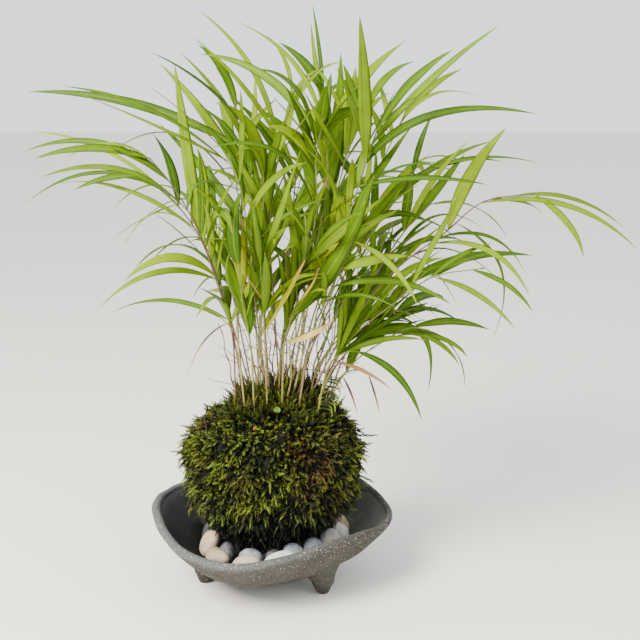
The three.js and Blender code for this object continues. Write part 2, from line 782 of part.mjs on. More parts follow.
function leaflet(perch, turn) {
  const out = around(turn, 1, 0);
  const side = point(-out.y, out.x, 0);
  const over = point(SEEDLING.cupped * out.x, SEEDLING.cupped * out.y, 1).normalize();
  const heart = perch.clone().addScaledVector(out, SEEDLING.leaflet);
  const rings = [0, SEEDLING.thick].map((level) => {
    const ring = [];
    for (let k = 0; k < SEEDLING.leafletSides; k += 1) {
      const angle = (2 * Math.PI * k) / SEEDLING.leafletSides;
      const place = heart.clone().addScaledVector(out, SEEDLING.leaflet * Math.cos(angle));
      place.addScaledVector(side, SEEDLING.leaflet * Math.sin(angle)).addScaledVector(over, level);
      ring.push(place);
    }
    return ring;
  });
  return lofted(rings, heart, heart.clone().addScaledVector(over, SEEDLING.thick));
}

function seedling() {
  const { base, top, along } = seedlingLine();
  const side = point(1, 0, 0);
  const rings = [base, top].map((centre) => ringAt(centre, along, side, SEEDLING.stalk, SEEDLING.stalkSides));
  const perch = top.clone().addScaledVector(along, -SEEDLING.perch);
  return SEEDLING.turns.reduce((whole, turn) => whole.add(leaflet(perch, turn)), lofted(rings, base, top));
}

function seedlingHole() {
  const { base, top, along } = seedlingLine();
  const start = base.clone().addScaledVector(along, -FIT_GAP);
  const side = point(1, 0, 0);
  const rings = [start, top].map((centre) => ringAt(centre, along, side, SEEDLING.hole, HOLE_SIDES));
  return lofted(rings, start, top);
}

// Pebbles: [x, y, long way's turn from the X axis, length, width, height]. Each lies in the bowl on
// its flat side, follows the slope, and stays low enough for the ball above it.
const PEBBLES = {
  pebble_tan_front_left: [-27.8, -38.5, -38, 14, 9.6, 11.5],
  pebble_tan_front: [-10.5, -46, -14, 16, 9.6, 11],
  pebble_white_front: [8.2, -47, 12, 17, 9.2, 11],
  pebble_tan_tall: [-33.4, -19.4, -66, 13, 9.6, 16],
  pebble_dark_left: [-23.5, -28, -40, 11.5, 9, 15],
  pebble_slate_left: [-9.5, -34.6, -14, 15.5, 9.2, 15],
  pebble_grey_front: [3.6, -35.6, 4, 9.5, 9.2, 14],
  pebble_slate_middle: [14.3, -33.5, 21, 12, 9.2, 15],
  pebble_slate_right: [25.8, -26.8, 45, 13, 9.2, 15],
  pebble_pale_right: [35.3, -16.8, 63, 14.5, 10, 16],
  pebble_white_right: [40.3, -2.2, 87, 13, 10, 16],
  pebble_tan_right: [40.8, 10.8, 105, 11.5, 9.6, 15],
  pebble_back_1: [36, 25, 126, 16, 11, 13],
  pebble_back_2: [25, 37, 148, 15, 11, 12],
  pebble_back_3: [8.6, 44, 170, 16.5, 11, 12.5],
  pebble_back_4: [-8.8, 43, 192, 15, 11, 12],
  pebble_back_5: [-25, 36.5, 214, 16, 11, 13],
  pebble_back_6: [-36.5, 24, 238, 14.5, 11, 12],
  pebble_back_7: [-34.5, 6, 262, 15, 11, 13],
  pebble_under_1: [0, -15, 8, 17, 13, 14],
  pebble_under_2: [14, 8.5, 118, 17, 13, 14],
  pebble_under_3: [-14, 8.5, 242, 17, 13, 14],
};
const PEBBLE_SIDES = 8;
const PEBBLE_LEVELS = 6;
const PEBBLE_GAP = 0.7;
const PEBBLE_LUMPS = { long: 0.05, short: 0.04, offset: 2.3, full: 0.9 };
const PEBBLE_LOWEST = 5;
const PEBBLE_TRIM = 0.5;

function pebble(row, height, index) {
  const [x, y, turn, length, width] = row;
  const step = 0.5;
  const slopeX = (bowlFloor(x + step, y) - bowlFloor(x - step, y)) / (2 * step);
  const slopeY = (bowlFloor(x, y + step) - bowlFloor(x, y - step)) / (2 * step);
  const up = point(-slopeX, -slopeY, 1).normalize();
  const angle = degrees(turn);
  const along = point(Math.cos(angle), Math.sin(angle), 0);
  along.addScaledVector(up, -along.dot(up)).normalize();
  const across = up.clone().cross(along);
  const place = (lon, lat) => {
    const out = Math.cos(lat) ** PEBBLE_LUMPS.full;
    const long = PEBBLE_LUMPS.long * Math.sin(2 * lon + index);
    const lumps = 1 + long + PEBBLE_LUMPS.short * Math.sin(3 * lon + PEBBLE_LUMPS.offset * index + lat);
    return point(x, y, 0)
      .addScaledVector(along, (length / 2) * out * lumps * Math.cos(lon))
      .addScaledVector(across, (width / 2) * out * lumps * Math.sin(lon))
      .addScaledVector(up, (height / 2) * Math.sin(lat));
  };
  const rings = [];
  for (let i = 1; i < PEBBLE_LEVELS; i += 1) {
    const lat = -Math.PI / 2 + (Math.PI * i) / PEBBLE_LEVELS;
    const ring = [];
    for (let k = 0; k < PEBBLE_SIDES; k += 1) {
      ring.push(place((2 * Math.PI * k) / PEBBLE_SIDES, lat));
    }
    rings.push(ring);
  }
  const ends = [place(0, -Math.PI / 2), place(0, Math.PI / 2)];
  const points = [...rings.flat(), ...ends];
  const drop = Math.max(...points.map((p) => bowlFloor(p.x, p.y) + PEBBLE_GAP - p.z));
  points.forEach((p) => {
    p.z += drop;
  });
  return lofted(rings, ends[0], ends[1]);
}

function settledPebble(row, index, moss) {
  let height = row[5];
  let stone = pebble(row, height, index);
  while (height > PEBBLE_LOWEST && !pebble(row, height + FIT_GAP, index).intersect(moss).isEmpty()) {
    height -= PEBBLE_TRIM;
    stone = pebble(row, height, index);
  }
  return stone;
}

// Materials: one for each sort of surface.
function material(color, roughness) {
  return new THREE.MeshStandardMaterial({ color, roughness, metalness: 0 });
}

const LOOKS = {
  stoneware: material('#8b8781', 0.8),
  soil: material('#3b2c20', 0.95),
  moss: material('#5f7a22', 0.95),
  leaf: material('#8fb53c', 0.6),
  seedling: material('#6fa03a', 0.6),
  tan: material('#b59a74', 0.7),
  slate: material('#7c868f', 0.7),
  pale: material('#d4d2cb', 0.7),
};

function pebbleLook(name) {
  if (name.includes('tan')) return LOOKS.tan;
  return name.includes('white') || name.includes('pale') ? LOOKS.pale : LOOKS.slate;
}

function asMesh(name, shape, look, shift) {
  const mesh = shape.getMesh();
  const geometry = new THREE.BufferGeometry();
  geometry.setAttribute('position', new THREE.BufferAttribute(mesh.vertProperties, 3));
  geometry.setIndex(new THREE.BufferAttribute(mesh.triVerts, 1));
  geometry.translate(-shift.x, -shift.y, 0);
  geometry.computeVertexNormals();
  const node = new THREE.Mesh(geometry, look);
  node.name = name;
  return node;
}

function kokedama() {
  const stems = [...seenStems(), ...hiddenStems()];
  const holes = stems.map(hole);
  const mossBody = ball(MOSS, mossRelief).add(curledFrond());
  const soilBody = ball(SOIL, () => 0);
  const bed = ball(SOIL, () => FIT_GAP);
  const bore = (body) => holes.reduce((left, cut) => left.subtract(cut), body);
  const moss = bore(mossBody.subtract(bed)).subtract(seedlingHole());
  const stone = dish();
  const sprout = seedling();
  const ground = [obstacle('moss', moss), obstacle('dish', stone), obstacle('sprout', sprout)];
  const parts = [
    { name: 'dish', shape: stone, look: LOOKS.stoneware },
    { name: 'soil_ball', shape: bore(soilBody), look: LOOKS.soil },
    { name: 'moss_cover', shape: moss, look: LOOKS.moss },
    { name: 'seedling', shape: sprout, look: LOOKS.seedling },
  ];
  Object.entries(PEBBLES).forEach(([name, row], index) => {
    parts.push({ name, shape: settledPebble(row, index, moss), look: pebbleLook(name) });
  });
  growGrass(stems, ground).forEach(({ name, shape }) => {
    parts.push({ name, shape, look: LOOKS.leaf });
  });
  const box = new THREE.Box3();
  parts.forEach(({ shape }) => {
    const { min, max } = shape.boundingBox();
    box.expandByPoint(point(...min)).expandByPoint(point(...max));
  });
  const shift = box.getCenter(point(0, 0, 0));
  const group = new THREE.Group();
  parts.forEach(({ name, shape, look }) => group.add(asMesh(name, shape, look, shift)));
  return group;
}

export default kokedama();
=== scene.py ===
import math

import bpy
import numpy as np
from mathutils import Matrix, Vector


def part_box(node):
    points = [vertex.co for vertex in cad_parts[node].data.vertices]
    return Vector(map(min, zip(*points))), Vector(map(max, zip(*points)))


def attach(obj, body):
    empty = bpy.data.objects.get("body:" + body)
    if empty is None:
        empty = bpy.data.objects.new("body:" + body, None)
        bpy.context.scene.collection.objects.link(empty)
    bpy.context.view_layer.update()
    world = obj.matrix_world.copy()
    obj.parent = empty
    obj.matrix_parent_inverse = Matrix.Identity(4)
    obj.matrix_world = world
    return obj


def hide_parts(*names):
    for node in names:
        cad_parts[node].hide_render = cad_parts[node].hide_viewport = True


# A kokedama: a clump of forest grass that grows out of a ball of soil wrapped in living moss, set on
# river pebbles in a three footed stoneware dish. Sizes are millimetres from the dish's axis at the
# table, +Z up, the viewer on the -Y side, until placed() carries them into the frame.
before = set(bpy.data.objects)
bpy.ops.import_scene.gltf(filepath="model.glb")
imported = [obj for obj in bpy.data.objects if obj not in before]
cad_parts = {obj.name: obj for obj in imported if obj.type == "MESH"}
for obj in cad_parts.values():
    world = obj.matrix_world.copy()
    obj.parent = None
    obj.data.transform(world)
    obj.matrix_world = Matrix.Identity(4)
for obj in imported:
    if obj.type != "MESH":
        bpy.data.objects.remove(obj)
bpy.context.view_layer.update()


# The dish: one fired piece of dark stoneware, an open bowl with a thick round lip that has three
# corners, pinched and scraped by hand, with three stub feet joined under it before firing. The clay
# is coarse and full of pale grit outside; the inside is rubbed smooth and wears a thin dark slip, with
# painted shade on its left and painted light on its right, and the lip wears a painted highlight on
# the left.

# The lip's radius and height each have three waves round; it leans down to the right, with a soft
# swell there, and its half thickness varies. Turns run from the front, -Y, towards +X.
RIM_RADIUS = 67.4
RIM_LOBE = 2.4
RIM_HEIGHT = 40.3
RIM_SWAY = 4.2
RIM_TILT = 5.3
LOBE_TURN = math.radians(-20.5)
RIM_SWELL = 3.2
SWELL_TURN = math.radians(-3)
LIP_HALF = 2.2
LIP_VARY = 0.5
LIP_TURN = math.radians(-35)
# The wall's two faces rise from these heights in the middle, by this power of the way out.
DISH_UNDERSIDE = 3.9
DISH_FLOOR = 9.5
BOWL_POWER = 3
BOWL_SIDES = 240
BOWL_ROWS = 60
LIP_ROWS = 14
# The innermost ring lies this share of the way out.
CENTRE_STEP = 0.03
# The ball stands this far right of the dish's axis.
BALL_X = 1
# The lip band, which carries the painted highlight on the left and more pale grit, fades into the
# wall outside and the floor inside, and the slip starts over the lip, each as a power of the way.
LIP_FADES = (16, 24)
SLIP_FADE = 3
# The hand's unevenness: how deep it is, and the size and seed of its ripple along each axis.
HAND_WAVE = 0.3
HAND_RIPPLES = ((26, 5), (26, 6), (30, 7))
# Each foot's distance from the axis and turn from the front. A foot's rings are radius and height;
# above them it flares by steps up to the wall, and ends a little inside it.
FEET = ((38.8, -71), (41, 48), (41, 168))
FOOT_SIDES = 40
FOOT_PROFILE = ((2.6, 0), (3.2, 0.12), (3.6, 0.45), (4.05, 1.2), (4.4, 2.2), (4.9, 3.6), (5.6, 5), (6.4, 6.6))
FLARE_WIDTH = 3.4
FLARE_POWER = 1.6
FLARE_STEPS = (0.3, 0.55, 0.75, 0.9, 1)
FOOT_SUNK = 0.6
FOOT_PEAK = 1
FOOT_WAVE = 0.25
FOOT_RIPPLES = ((11, 8), (11, 9))
# Every ripple is a sum of this many waves, whose pace varies between these shares of its own.
RIPPLE_WAVES = 12
RIPPLE_PACES = (0.7, 1.5)


def placed(points):
    """Millimetres from the dish's axis to metres in the frame, where the soil ball tells the axis."""
    low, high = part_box("soil_ball")
    axis = np.array([(low.x + high.x) / 2 - BALL_X / 1000, (low.y + high.y) / 2, 0])
    return np.asarray(points, float) / 1000 + axis


def linear(code):
    """An sRGB hex colour as linear red, green, blue and one: each channel through the sRGB curve."""
    parts = np.array([int(code[i : i + 2], 16) for i in (1, 3, 5)]) / 255
    parts = np.where(parts > 0.04045, ((parts + 0.055) / 1.055) ** 2.4, parts / 12.92)
    return (*parts, 1)


def plug(node, values):
    """Fills a node's sockets: numbers, hex colours, or links from a socket or a node's first output."""
    for key, value in values.items():
        if isinstance(value, bpy.types.Node):
            value = next(output for output in value.outputs if output.enabled)
        if isinstance(value, bpy.types.NodeSocket):
            node.id_data.links.new(value, node.inputs[key])
        else:
            node.inputs[key].default_value = linear(value) if isinstance(value, str) else value


def add(material, kind, values=(), stops=(), **settings):
    """Adds one node with its settings, its sockets and, on a ramp, its stops.

    A socket goes by its name, or by its number: 0 to 2 are the values of a Math node, 1 to 4 of a Map
    Range are from low, from high, to low and to high, and 0, 6 and 7 of a Mix its share and colours.
    """
    node = material.node_tree.nodes.new("ShaderNode" + kind)
    for key, value in settings.items():
        setattr(node, key, value)
    plug(node, dict(values))
    for i, (place, colour) in enumerate(stops):
        marks = node.color_ramp.elements
        mark = marks[i] if i < 2 else marks.new(place)
        mark.position = place
        mark.color = linear(colour)
    return node


def finish_of(material, colour, roughness, height, relief, **plain):
    """Fills a material's shader: colour, roughness, a height with its relief in metres, plain values."""
    bump = add(material, "Bump", {"Height": height, "Distance": relief, "Strength": 1})
    plain = {key.replace("_", " "): value for key, value in plain.items()}
    links = {"Base Color": colour, "Roughness": roughness, "Normal": bump}
    plug(material.node_tree.nodes["Principled BSDF"], links | plain)
    return material


def new_material(name):
    """An empty node material."""
    material = bpy.data.materials.new(name)
    material.use_nodes = True
    return material


def ripple(points, size, seed):
    """A smooth random field, about -1 to 1: a sum of sine waves near this size in random directions."""
    draw = np.random.default_rng(seed)
    ways = draw.normal(size=(RIPPLE_WAVES, 3))
    pace = 2 * np.pi / size * draw.uniform(*RIPPLE_PACES, RIPPLE_WAVES) / np.linalg.norm(ways, axis=1)
    start = draw.uniform(0, 2 * np.pi, RIPPLE_WAVES)
    return np.sin(points @ (ways * pace[:, None]).T + start).sum(-1) / 4


def lathe_faces(rows, sides):
    """Faces over closed rows of points: squares between rows, fans to the two points that end them."""
    here = np.arange(sides)
    there = (here + 1) % sides
    row = np.arange(rows - 1)[:, None] * sides
    last = (rows - 1) * sides
    walls = np.stack([row + here, row + there, row + there + sides, row + here + sides], -1)
    start = np.stack([np.full(sides, rows * sides), there, here], -1)
    end = np.stack([np.full(sides, rows * sides + 1), last + here, last + there], -1)
    return [walls.reshape(-1, 4), start, end]


def shell(points, faces, material=0, uv=None, **values):
    """One batch of like surfaces: points (many, each, 3), the faces of one, a number a point each."""
    many, each = points.shape[:2]
    starts = np.arange(many)[:, None, None] * each
    whole = [(rows[None] + starts).reshape(-1, rows.shape[1]) for rows in faces]
    spread = {key: np.broadcast_to(value, (many, each)).ravel() for key, value in values.items()}
    return {"points": points.reshape(-1, 3), "faces": whole, "material": material, "uv": uv, "values": spread}


def piece(name, shells, materials, slot, nodes=()):
    """Puts batches of surfaces into one mesh object that rides on the root and stands for CAD nodes."""
    starts = np.cumsum([0] + [len(batch["points"]) for batch in shells])
    corners, lengths, looks = [], [], []
    for batch, start in zip(shells, starts):
        for rows in batch["faces"]:
            corners.append((rows + start).ravel())
            lengths.append(np.full(len(rows), rows.shape[1]))
            looks.append(np.full(len(rows), batch["material"]))
    corners, lengths, looks = np.concatenate(corners), np.concatenate(lengths), np.concatenate(looks)
    mesh = bpy.data.meshes.new(name)
    mesh.vertices.add(starts[-1])
    mesh.vertices.foreach_set("co", placed(np.concatenate([b["points"] for b in shells])).ravel())
    mesh.loops.add(len(corners))
    mesh.loops.foreach_set("vertex_index", corners)
    mesh.polygons.add(len(lengths))
    mesh.polygons.foreach_set("loop_start", np.cumsum(lengths) - lengths)
    mesh.polygons.foreach_set("material_index", looks)
    mesh.polygons.foreach_set("use_smooth", np.ones(len(lengths), bool))
    mesh.update(calc_edges=True)
    for key in sorted({key for batch in shells for key in batch["values"]}):
        parts = [b["values"].get(key, np.zeros(len(b["points"]))) for b in shells]
        mesh.attributes.new(key, "FLOAT", "POINT").data.foreach_set("value", np.concatenate(parts))
    if any(batch["uv"] is not None for batch in shells):
        flat = [np.zeros((len(b["points"]), 2)) if b["uv"] is None else b["uv"] for b in shells]
        flat = [uv.reshape(-1, 2) for uv in flat]
        mesh.uv_layers.new(name="UVMap").data.foreach_set("uv", np.concatenate(flat)[corners].ravel())
    mesh.validate()
    for material in materials:
        mesh.materials.append(material)
    made = bpy.data.objects.new(name, mesh)
    bpy.context.scene.collection.objects.link(made)
    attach(made, "root")
    if nodes:
        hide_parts(*nodes)
    return made


def rim_at(turn):
    """How far out, how high and half how thick the lip is: three waves round a circle and a level."""
    lobe = np.cos(3 * (turn - LOBE_TURN))
    swell = np.clip(np.cos(turn - SWELL_TURN), 0, 1) ** 2
    high = RIM_HEIGHT - RIM_SWAY * lobe - RIM_TILT * np.cos(turn) + RIM_SWELL * swell
    return RIM_RADIUS + RIM_LOBE * lobe, high, LIP_HALF + LIP_VARY * np.cos(turn - LIP_TURN)


def around(turn, radius, height):
    """A place at an angle from the front, -Y, towards +X, this far out and this high."""
    return np.stack(np.broadcast_arrays(radius * np.sin(turn), -radius * np.cos(turn), height), -1)


def bowl_height(turn, radius, bottom, face):
    """The height of a wall's face, 1 outside and -1 inside: a cube of the way out, up to the lip."""
    out, high, half = rim_at(turn)
    return bottom + (high - half - bottom) * (radius / (out + face * half)) ** BOWL_POWER


def bowl_floor(x, y):
    """The height of the inside of the dish over a place on the table."""
    return bowl_height(np.arctan2(x, -y), np.hypot(x, y), DISH_FLOOR, -1)


def bowl():
    """Rings out along the underside, over the half circle of the lip and back in along the floor."""
    turn = np.linspace(0, 2 * np.pi, BOWL_SIDES, endpoint=False)
    steps = np.linspace(CENTRE_STEP, 1, BOWL_ROWS)[:, None]
    bend = np.linspace(0, np.pi, LIP_ROWS + 2)[1:-1, None]
    out, high, half = rim_at(turn)
    under = steps * (out + half)
    floor = steps[::-1] * (out - half)
    over = high - half * (1 - np.sin(bend))
    rows = (
        around(turn, under, bowl_height(turn, under, DISH_UNDERSIDE, 1)),
        around(turn, out + half * np.cos(bend), over),
        around(turn, floor, bowl_height(turn, floor, DISH_FLOOR, -1)),
    )
    rows = np.concatenate(rows)
    spread = (np.hypot(rows[..., 0], rows[..., 1]) / RIM_RADIUS)[..., None]
    wave = np.stack([ripple(rows, size, seed) for size, seed in HAND_RIPPLES], -1)
    rows = rows + HAND_WAVE * spread * wave
    rows = np.concatenate([rows.reshape(-1, 3), [[0, 0, DISH_UNDERSIDE], [0, 0, DISH_FLOOR]]])
    inside = (np.zeros(BOWL_ROWS), np.linspace(0, 1, LIP_ROWS) ** SLIP_FADE, np.ones(BOWL_ROWS))
    lip = (steps[:, 0] ** LIP_FADES[0], np.ones(LIP_ROWS), steps[::-1, 0] ** LIP_FADES[1])
    return shell(
        rows[None],
        lathe_faces(len(under) + len(over) + len(floor), BOWL_SIDES),
        inside=np.append(np.repeat(np.concatenate(inside), BOWL_SIDES), [0, 1]),
        lip=np.append(np.repeat(np.concatenate(lip), BOWL_SIDES), [0, 0]),
    )


def dish_foot(out, turn):
    """Rings up a flat sole with a round edge, then a hollow flare that runs into the wall."""
    angle = np.linspace(0, 2 * np.pi, FOOT_SIDES, endpoint=False)
    spokes = np.stack([np.cos(angle), np.sin(angle)], -1)
    sole = around(turn, out, 0)
    rings = [(sole[:2] + radius * spokes, np.full(FOOT_SIDES, height)) for radius, height in FOOT_PROFILE]
    neck, neck_height = FOOT_PROFILE[-1]
    for share in FLARE_STEPS:
        flat = sole[:2] + (neck + FLARE_WIDTH * share**FLARE_POWER) * spokes
        x, y = flat.T
        wall = bowl_height(np.arctan2(x, -y), np.hypot(x, y), DISH_UNDERSIDE, 1) + FOOT_SUNK * share
        rings.append((flat, (1 - share) * neck_height + share * wall))
    rings = [np.column_stack(ring) for ring in rings]
    top = rings[-1].mean(0) + [0, 0, FOOT_PEAK]
    points = np.concatenate([*rings, [sole, top]])
    points[:, :2] += FOOT_WAVE * np.stack([ripple(points, size, seed) for size, seed in FOOT_RIPPLES], -1)
    return shell(points[None], lathe_faces(len(rings), FOOT_SIDES), inside=0, lip=0)


def grains(clay, cells, pick, least, size, share):
    """Round grains: cells whose pick is over the least, out to this share of a cell, this opaque."""
    some = add(clay, "Math", {0: pick, 1: least}, operation="GREATER_THAN")
    near = add(clay, "Math", {0: cells, 1: size}, operation="LESS_THAN")
    grain = add(clay, "Math", {0: some, 1: near}, operation="MULTIPLY")
    return add(clay, "Math", {0: grain, 1: share}, operation="MULTIPLY")


# Coarse stoneware, fired dark in reduction and left unglazed: dull, toothed by its sand, peppered
# with pale grit and darker iron specks. Where it was rubbed smooth it is darker and slightly shiny; its
# colour also carries painted shade on the left of the inside, painted light on its right, and a
# painted highlight on the left of the lip.
def stoneware():
    clay = new_material("stoneware_unglazed")
    place = add(clay, "TexCoord").outputs["Object"]
    inside = add(clay, "Attribute", attribute_name="inside").outputs["Fac"]
    lip = add(clay, "Attribute", attribute_name="lip").outputs["Fac"]
    # Cloudy patches 20 mm wide, sand of 0.4 mm, fine grit of 0.4 mm, coarse grit and iron of 0.6 mm.
    cloud = add(clay, "TexNoise", {"Vector": place, "Scale": 50, "Detail": 3})
    sand = add(clay, "TexNoise", {"Vector": place, "Scale": 2400, "Detail": 2})
    fine = add(clay, "TexVoronoi", {"Vector": place, "Scale": 1900})
    coarse = add(clay, "TexVoronoi", {"Vector": place, "Scale": 1050})
    warm = add(clay, "ValToRGB", {"Fac": cloud}, stops=[(0.36, "#332f29"), (0.64, "#413f39")])
    slip_and_painted_light = add(clay, "ValToRGB", {"Fac": cloud}, stops=[(0.35, "#2b2c27"), (0.65, "#3b3c38")])
    # Painted highlight: on the left the lip is paler, where the light falls on it. Painted shade and
    # light inside: across 95 mm the slip goes from dark on the left to paler grey on the right.
    right = add(clay, "SeparateXYZ", {"Vector": place})
    # Painted highlight on the left of the lip.
    painted_lip_highlight = add(clay, "MapRange", {"Value": right, 1: -0.045, 2: 0.03, 3: 0.95, 4: 0.05})
    edge = add(clay, "Math", {0: lip, 1: 2.2}, operation="POWER")
    painted_lip_highlight = add(clay, "Math", {0: edge, 1: painted_lip_highlight}, operation="MULTIPLY")
    # Painted shade on the left of the inside and painted light on its right.
    painted_shade_to_light = add(clay, "MapRange", {"Value": right, 1: -0.06, 2: 0.035, 3: 0.18, 4: 3.1})
    slip_and_painted_light = add(clay, "VectorMath", {0: slip_and_painted_light, 1: painted_shade_to_light}, operation="MULTIPLY")
    skin = add(clay, "Mix", {0: inside, 6: warm, 7: slip_and_painted_light}, data_type="RGBA")
    skin = add(clay, "Mix", {0: painted_lip_highlight, 6: skin, 7: "#505351"}, data_type="RGBA")
    tooth = add(clay, "MapRange", {"Value": sand, 1: 0.35, 2: 0.7, 3: 0.6, 4: 1.45})
    colour = add(clay, "VectorMath", {0: skin, 1: tooth}, operation="MULTIPLY")
    shown = add(clay, "MapRange", {"Value": inside, 3: 0.8, 4: 0.1})
    picks = add(clay, "SeparateColor", {"Color": fine.outputs["Color"]})
    fine_pale = grains(clay, fine, picks, 0.62, 0.34, shown)
    picks = add(clay, "SeparateColor", {"Color": coarse.outputs["Color"]})
    least = add(clay, "MapRange", {"Value": lip, 3: 0.955, 4: 0.82})
    pale = grains(clay, coarse, picks, least, 0.32, shown)
    iron = grains(clay, coarse, picks.outputs[1], 0.8, 0.3, 0.7)
    for share, tint in ((fine_pale, "#77736a"), (pale, "#c4c1b7"), (iron, "#26231f")):
        colour = add(clay, "Mix", {0: share, 6: colour, 7: tint}, data_type="RGBA")
    shine = add(clay, "MapRange", {"Value": inside, 3: 0.8, 4: 0.52})
    height = add(clay, "Math", {0: sand, 1: shown, 2: pale}, operation="MULTIPLY_ADD")
    return finish_of(clay, colour, shine, height, 0.00025, IOR=1.5, Specular_IOR_Level=0.22)


feet = [dish_foot(out, math.radians(turn)) for out, turn in FEET]
piece("dish_stoneware", [bowl(), *feet], [stoneware()], "stoneware", ["dish"])


# The pebbles: loose river stones, tumbled smooth, heaped by hand in the dish round and under the
# ball. Cream and tan ones, blue grey slates and pale quartz, each kept as one batch of its kind.

# A row is x, y, the long way's turn from the X axis, length, width, height and how pale it is.
PEBBLES = {
    "pebble_tan_front_left": (-27.8, -38.5, -38, 14, 9.6, 11.5, 0.18),
    "pebble_tan_front": (-10.5, -46, -14, 16, 9.6, 11, 0.36),
    "pebble_white_front": (8.2, -47, 12, 17, 9.2, 11, 0.42),
    "pebble_tan_tall": (-33.4, -19.4, -66, 13, 9.6, 16, 0.4),
    "pebble_dark_left": (-23.5, -28, -40, 11.5, 9, 15, -0.05),
    "pebble_slate_left": (-9.5, -34.6, -14, 15.5, 9.2, 15, 0.32),
    "pebble_grey_front": (3.6, -35.6, 4, 9.5, 9.2, 14, 0.05),
    "pebble_slate_middle": (14.3, -33.5, 21, 12, 9.2, 15, 0.5),
    "pebble_slate_right": (25.8, -26.8, 45, 13, 9.2, 15, 0.46),
    "pebble_pale_right": (35.3, -16.8, 63, 14.5, 10, 16, 0.12),
    "pebble_white_right": (40.3, -2.2, 87, 13, 10, 16, 0.4),
    "pebble_tan_right": (40.8, 10.8, 105, 11.5, 9.6, 15, 0.2),
    "pebble_back_1": (36, 25, 126, 16, 11, 13, 0.1),
    "pebble_back_2": (25, 37, 148, 15, 11, 12, 0.3),
    "pebble_back_3": (8.6, 44, 170, 16.5, 11, 12.5, 0),
    "pebble_back_4": (-8.8, 43, 192, 15, 11, 12, 0.25),
    "pebble_back_5": (-25, 36.5, 214, 16, 11, 13, 0.1),
    # The two back stones on the left are darkened as painted shade, where the ball shades the dish.
    "pebble_back_6": (-36.5, 24, 238, 14.5, 11, 12, -0.15),
    "pebble_back_7": (-34.5, 6, 262, 15, 11, 13, -0.15),
    "pebble_under_1": (0, -15, 8, 17, 13, 14, 0.1),
    "pebble_under_2": (14, 8.5, 118, 17, 13, 14, 0.2),
    "pebble_under_3": (-14, 8.5, 242, 17, 13, 14, 0),
}
PEBBLE_GAP = 0.7
PEBBLE_SIDES = 44
PEBBLE_LEVELS = 26
SLOPE_STEP = 0.5
# Lumps twice and three times round, and dents worn by tumbling: depth, size and first seed of each.
LUMPS = (0.05, 0.04)
WORN_LEVEL = 0.97
DENTS = ((0.065, 12, 60), (0.018, 5, 90))
# A stone's height is tried on coarse rings, each trial this much lower, down to the least height.
COARSE_SIDES = 8
COARSE_LEVELS = 6
TRIAL_STEP = 0.5
LEAST_HEIGHT = 3
# Its kinds: the words in the nodes' names, and the material's name, low and high tone, veins and how
# strong they are.
PEBBLE_KINDS = {
    "pebble_tan": (("tan",), ("sandstone_tumbled_tan", "#7d6c50", "#b8a78a", "#5e4c36", 0.4)),
    "pebble_pale": (("white", "pale"), ("quartz_tumbled_white", "#938f86", "#cbc8c1", "#76716a", 0.3)),
    "pebble_slate": (
        ("slate", "grey", "dark", "back", "under"),
        ("slate_tumbled_blue_grey", "#2d3133", "#8b929a", "#a9aaa6", 0.2),
    ),
}


def pebble_rings(row, height, index, sides, levels):
    """Closed rings of a lumpy, flattened ball whose axes follow the slope of the dish's floor."""
    x, y, turn, length, width, *_ = row
    step = SLOPE_STEP
    slope_x = (bowl_floor(x + step, y) - bowl_floor(x - step, y)) / (2 * step)
    slope_y = (bowl_floor(x, y + step) - bowl_floor(x, y - step)) / (2 * step)
    up = np.array([-slope_x, -slope_y, 1]) / np.linalg.norm([slope_x, slope_y, 1])
    along = np.array([math.cos(math.radians(turn)), math.sin(math.radians(turn)), 0])
    along -= along @ up * up
    along /= np.linalg.norm(along)
    lon = np.linspace(0, 2 * np.pi, sides, endpoint=False)
    lat = -np.pi / 2 + np.pi * np.arange(1, levels)[:, None] / levels
    lumps = 1 + LUMPS[0] * np.sin(2 * lon + index) + LUMPS[1] * np.sin(3 * lon + 2.3 * index + lat)
    out = np.cos(lat) ** 0.9 * lumps
    parts = (length / 2 * out * np.cos(lon), width / 2 * out * np.sin(lon), height / 2 * np.sin(lat))
    spread = [np.broadcast_to(part, out.shape)[..., None] for part in parts]
    rings = spread[0] * along + spread[1] * np.cross(up, along) + spread[2] * up
    ends = np.outer([-height / 2, height / 2], up)
    return np.concatenate([rings.reshape(-1, 3), ends]) + [x, y, 0]


def pebble(name, index):
    """One stone: as high as its solid, resting on the floor, with soft dents worn by tumbling."""
    low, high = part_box(name)
    tall = 1000 * (high.z - low.z)
    row = PEBBLES[name]
    trials = np.arange(row[5], LEAST_HEIGHT, -TRIAL_STEP)
    coarse = [pebble_rings(row, height, index, COARSE_SIDES, COARSE_LEVELS) for height in trials]
    best = int(np.argmin([abs(np.ptp(points[:, 2]) - tall) for points in coarse]))
    base = coarse[best]
    drop = np.max(bowl_floor(base[:, 0], base[:, 1]) + PEBBLE_GAP - base[:, 2])
    points = pebble_rings(row, trials[best], index, PEBBLE_SIDES, PEBBLE_LEVELS)
    middle = points.mean(0)
    worn = WORN_LEVEL
    for deep, size, seed in DENTS:
        worn = worn + deep * ripple(points, size, seed + index)
    return (points - middle) * worn[:, None] + middle + [0, 0, drop]


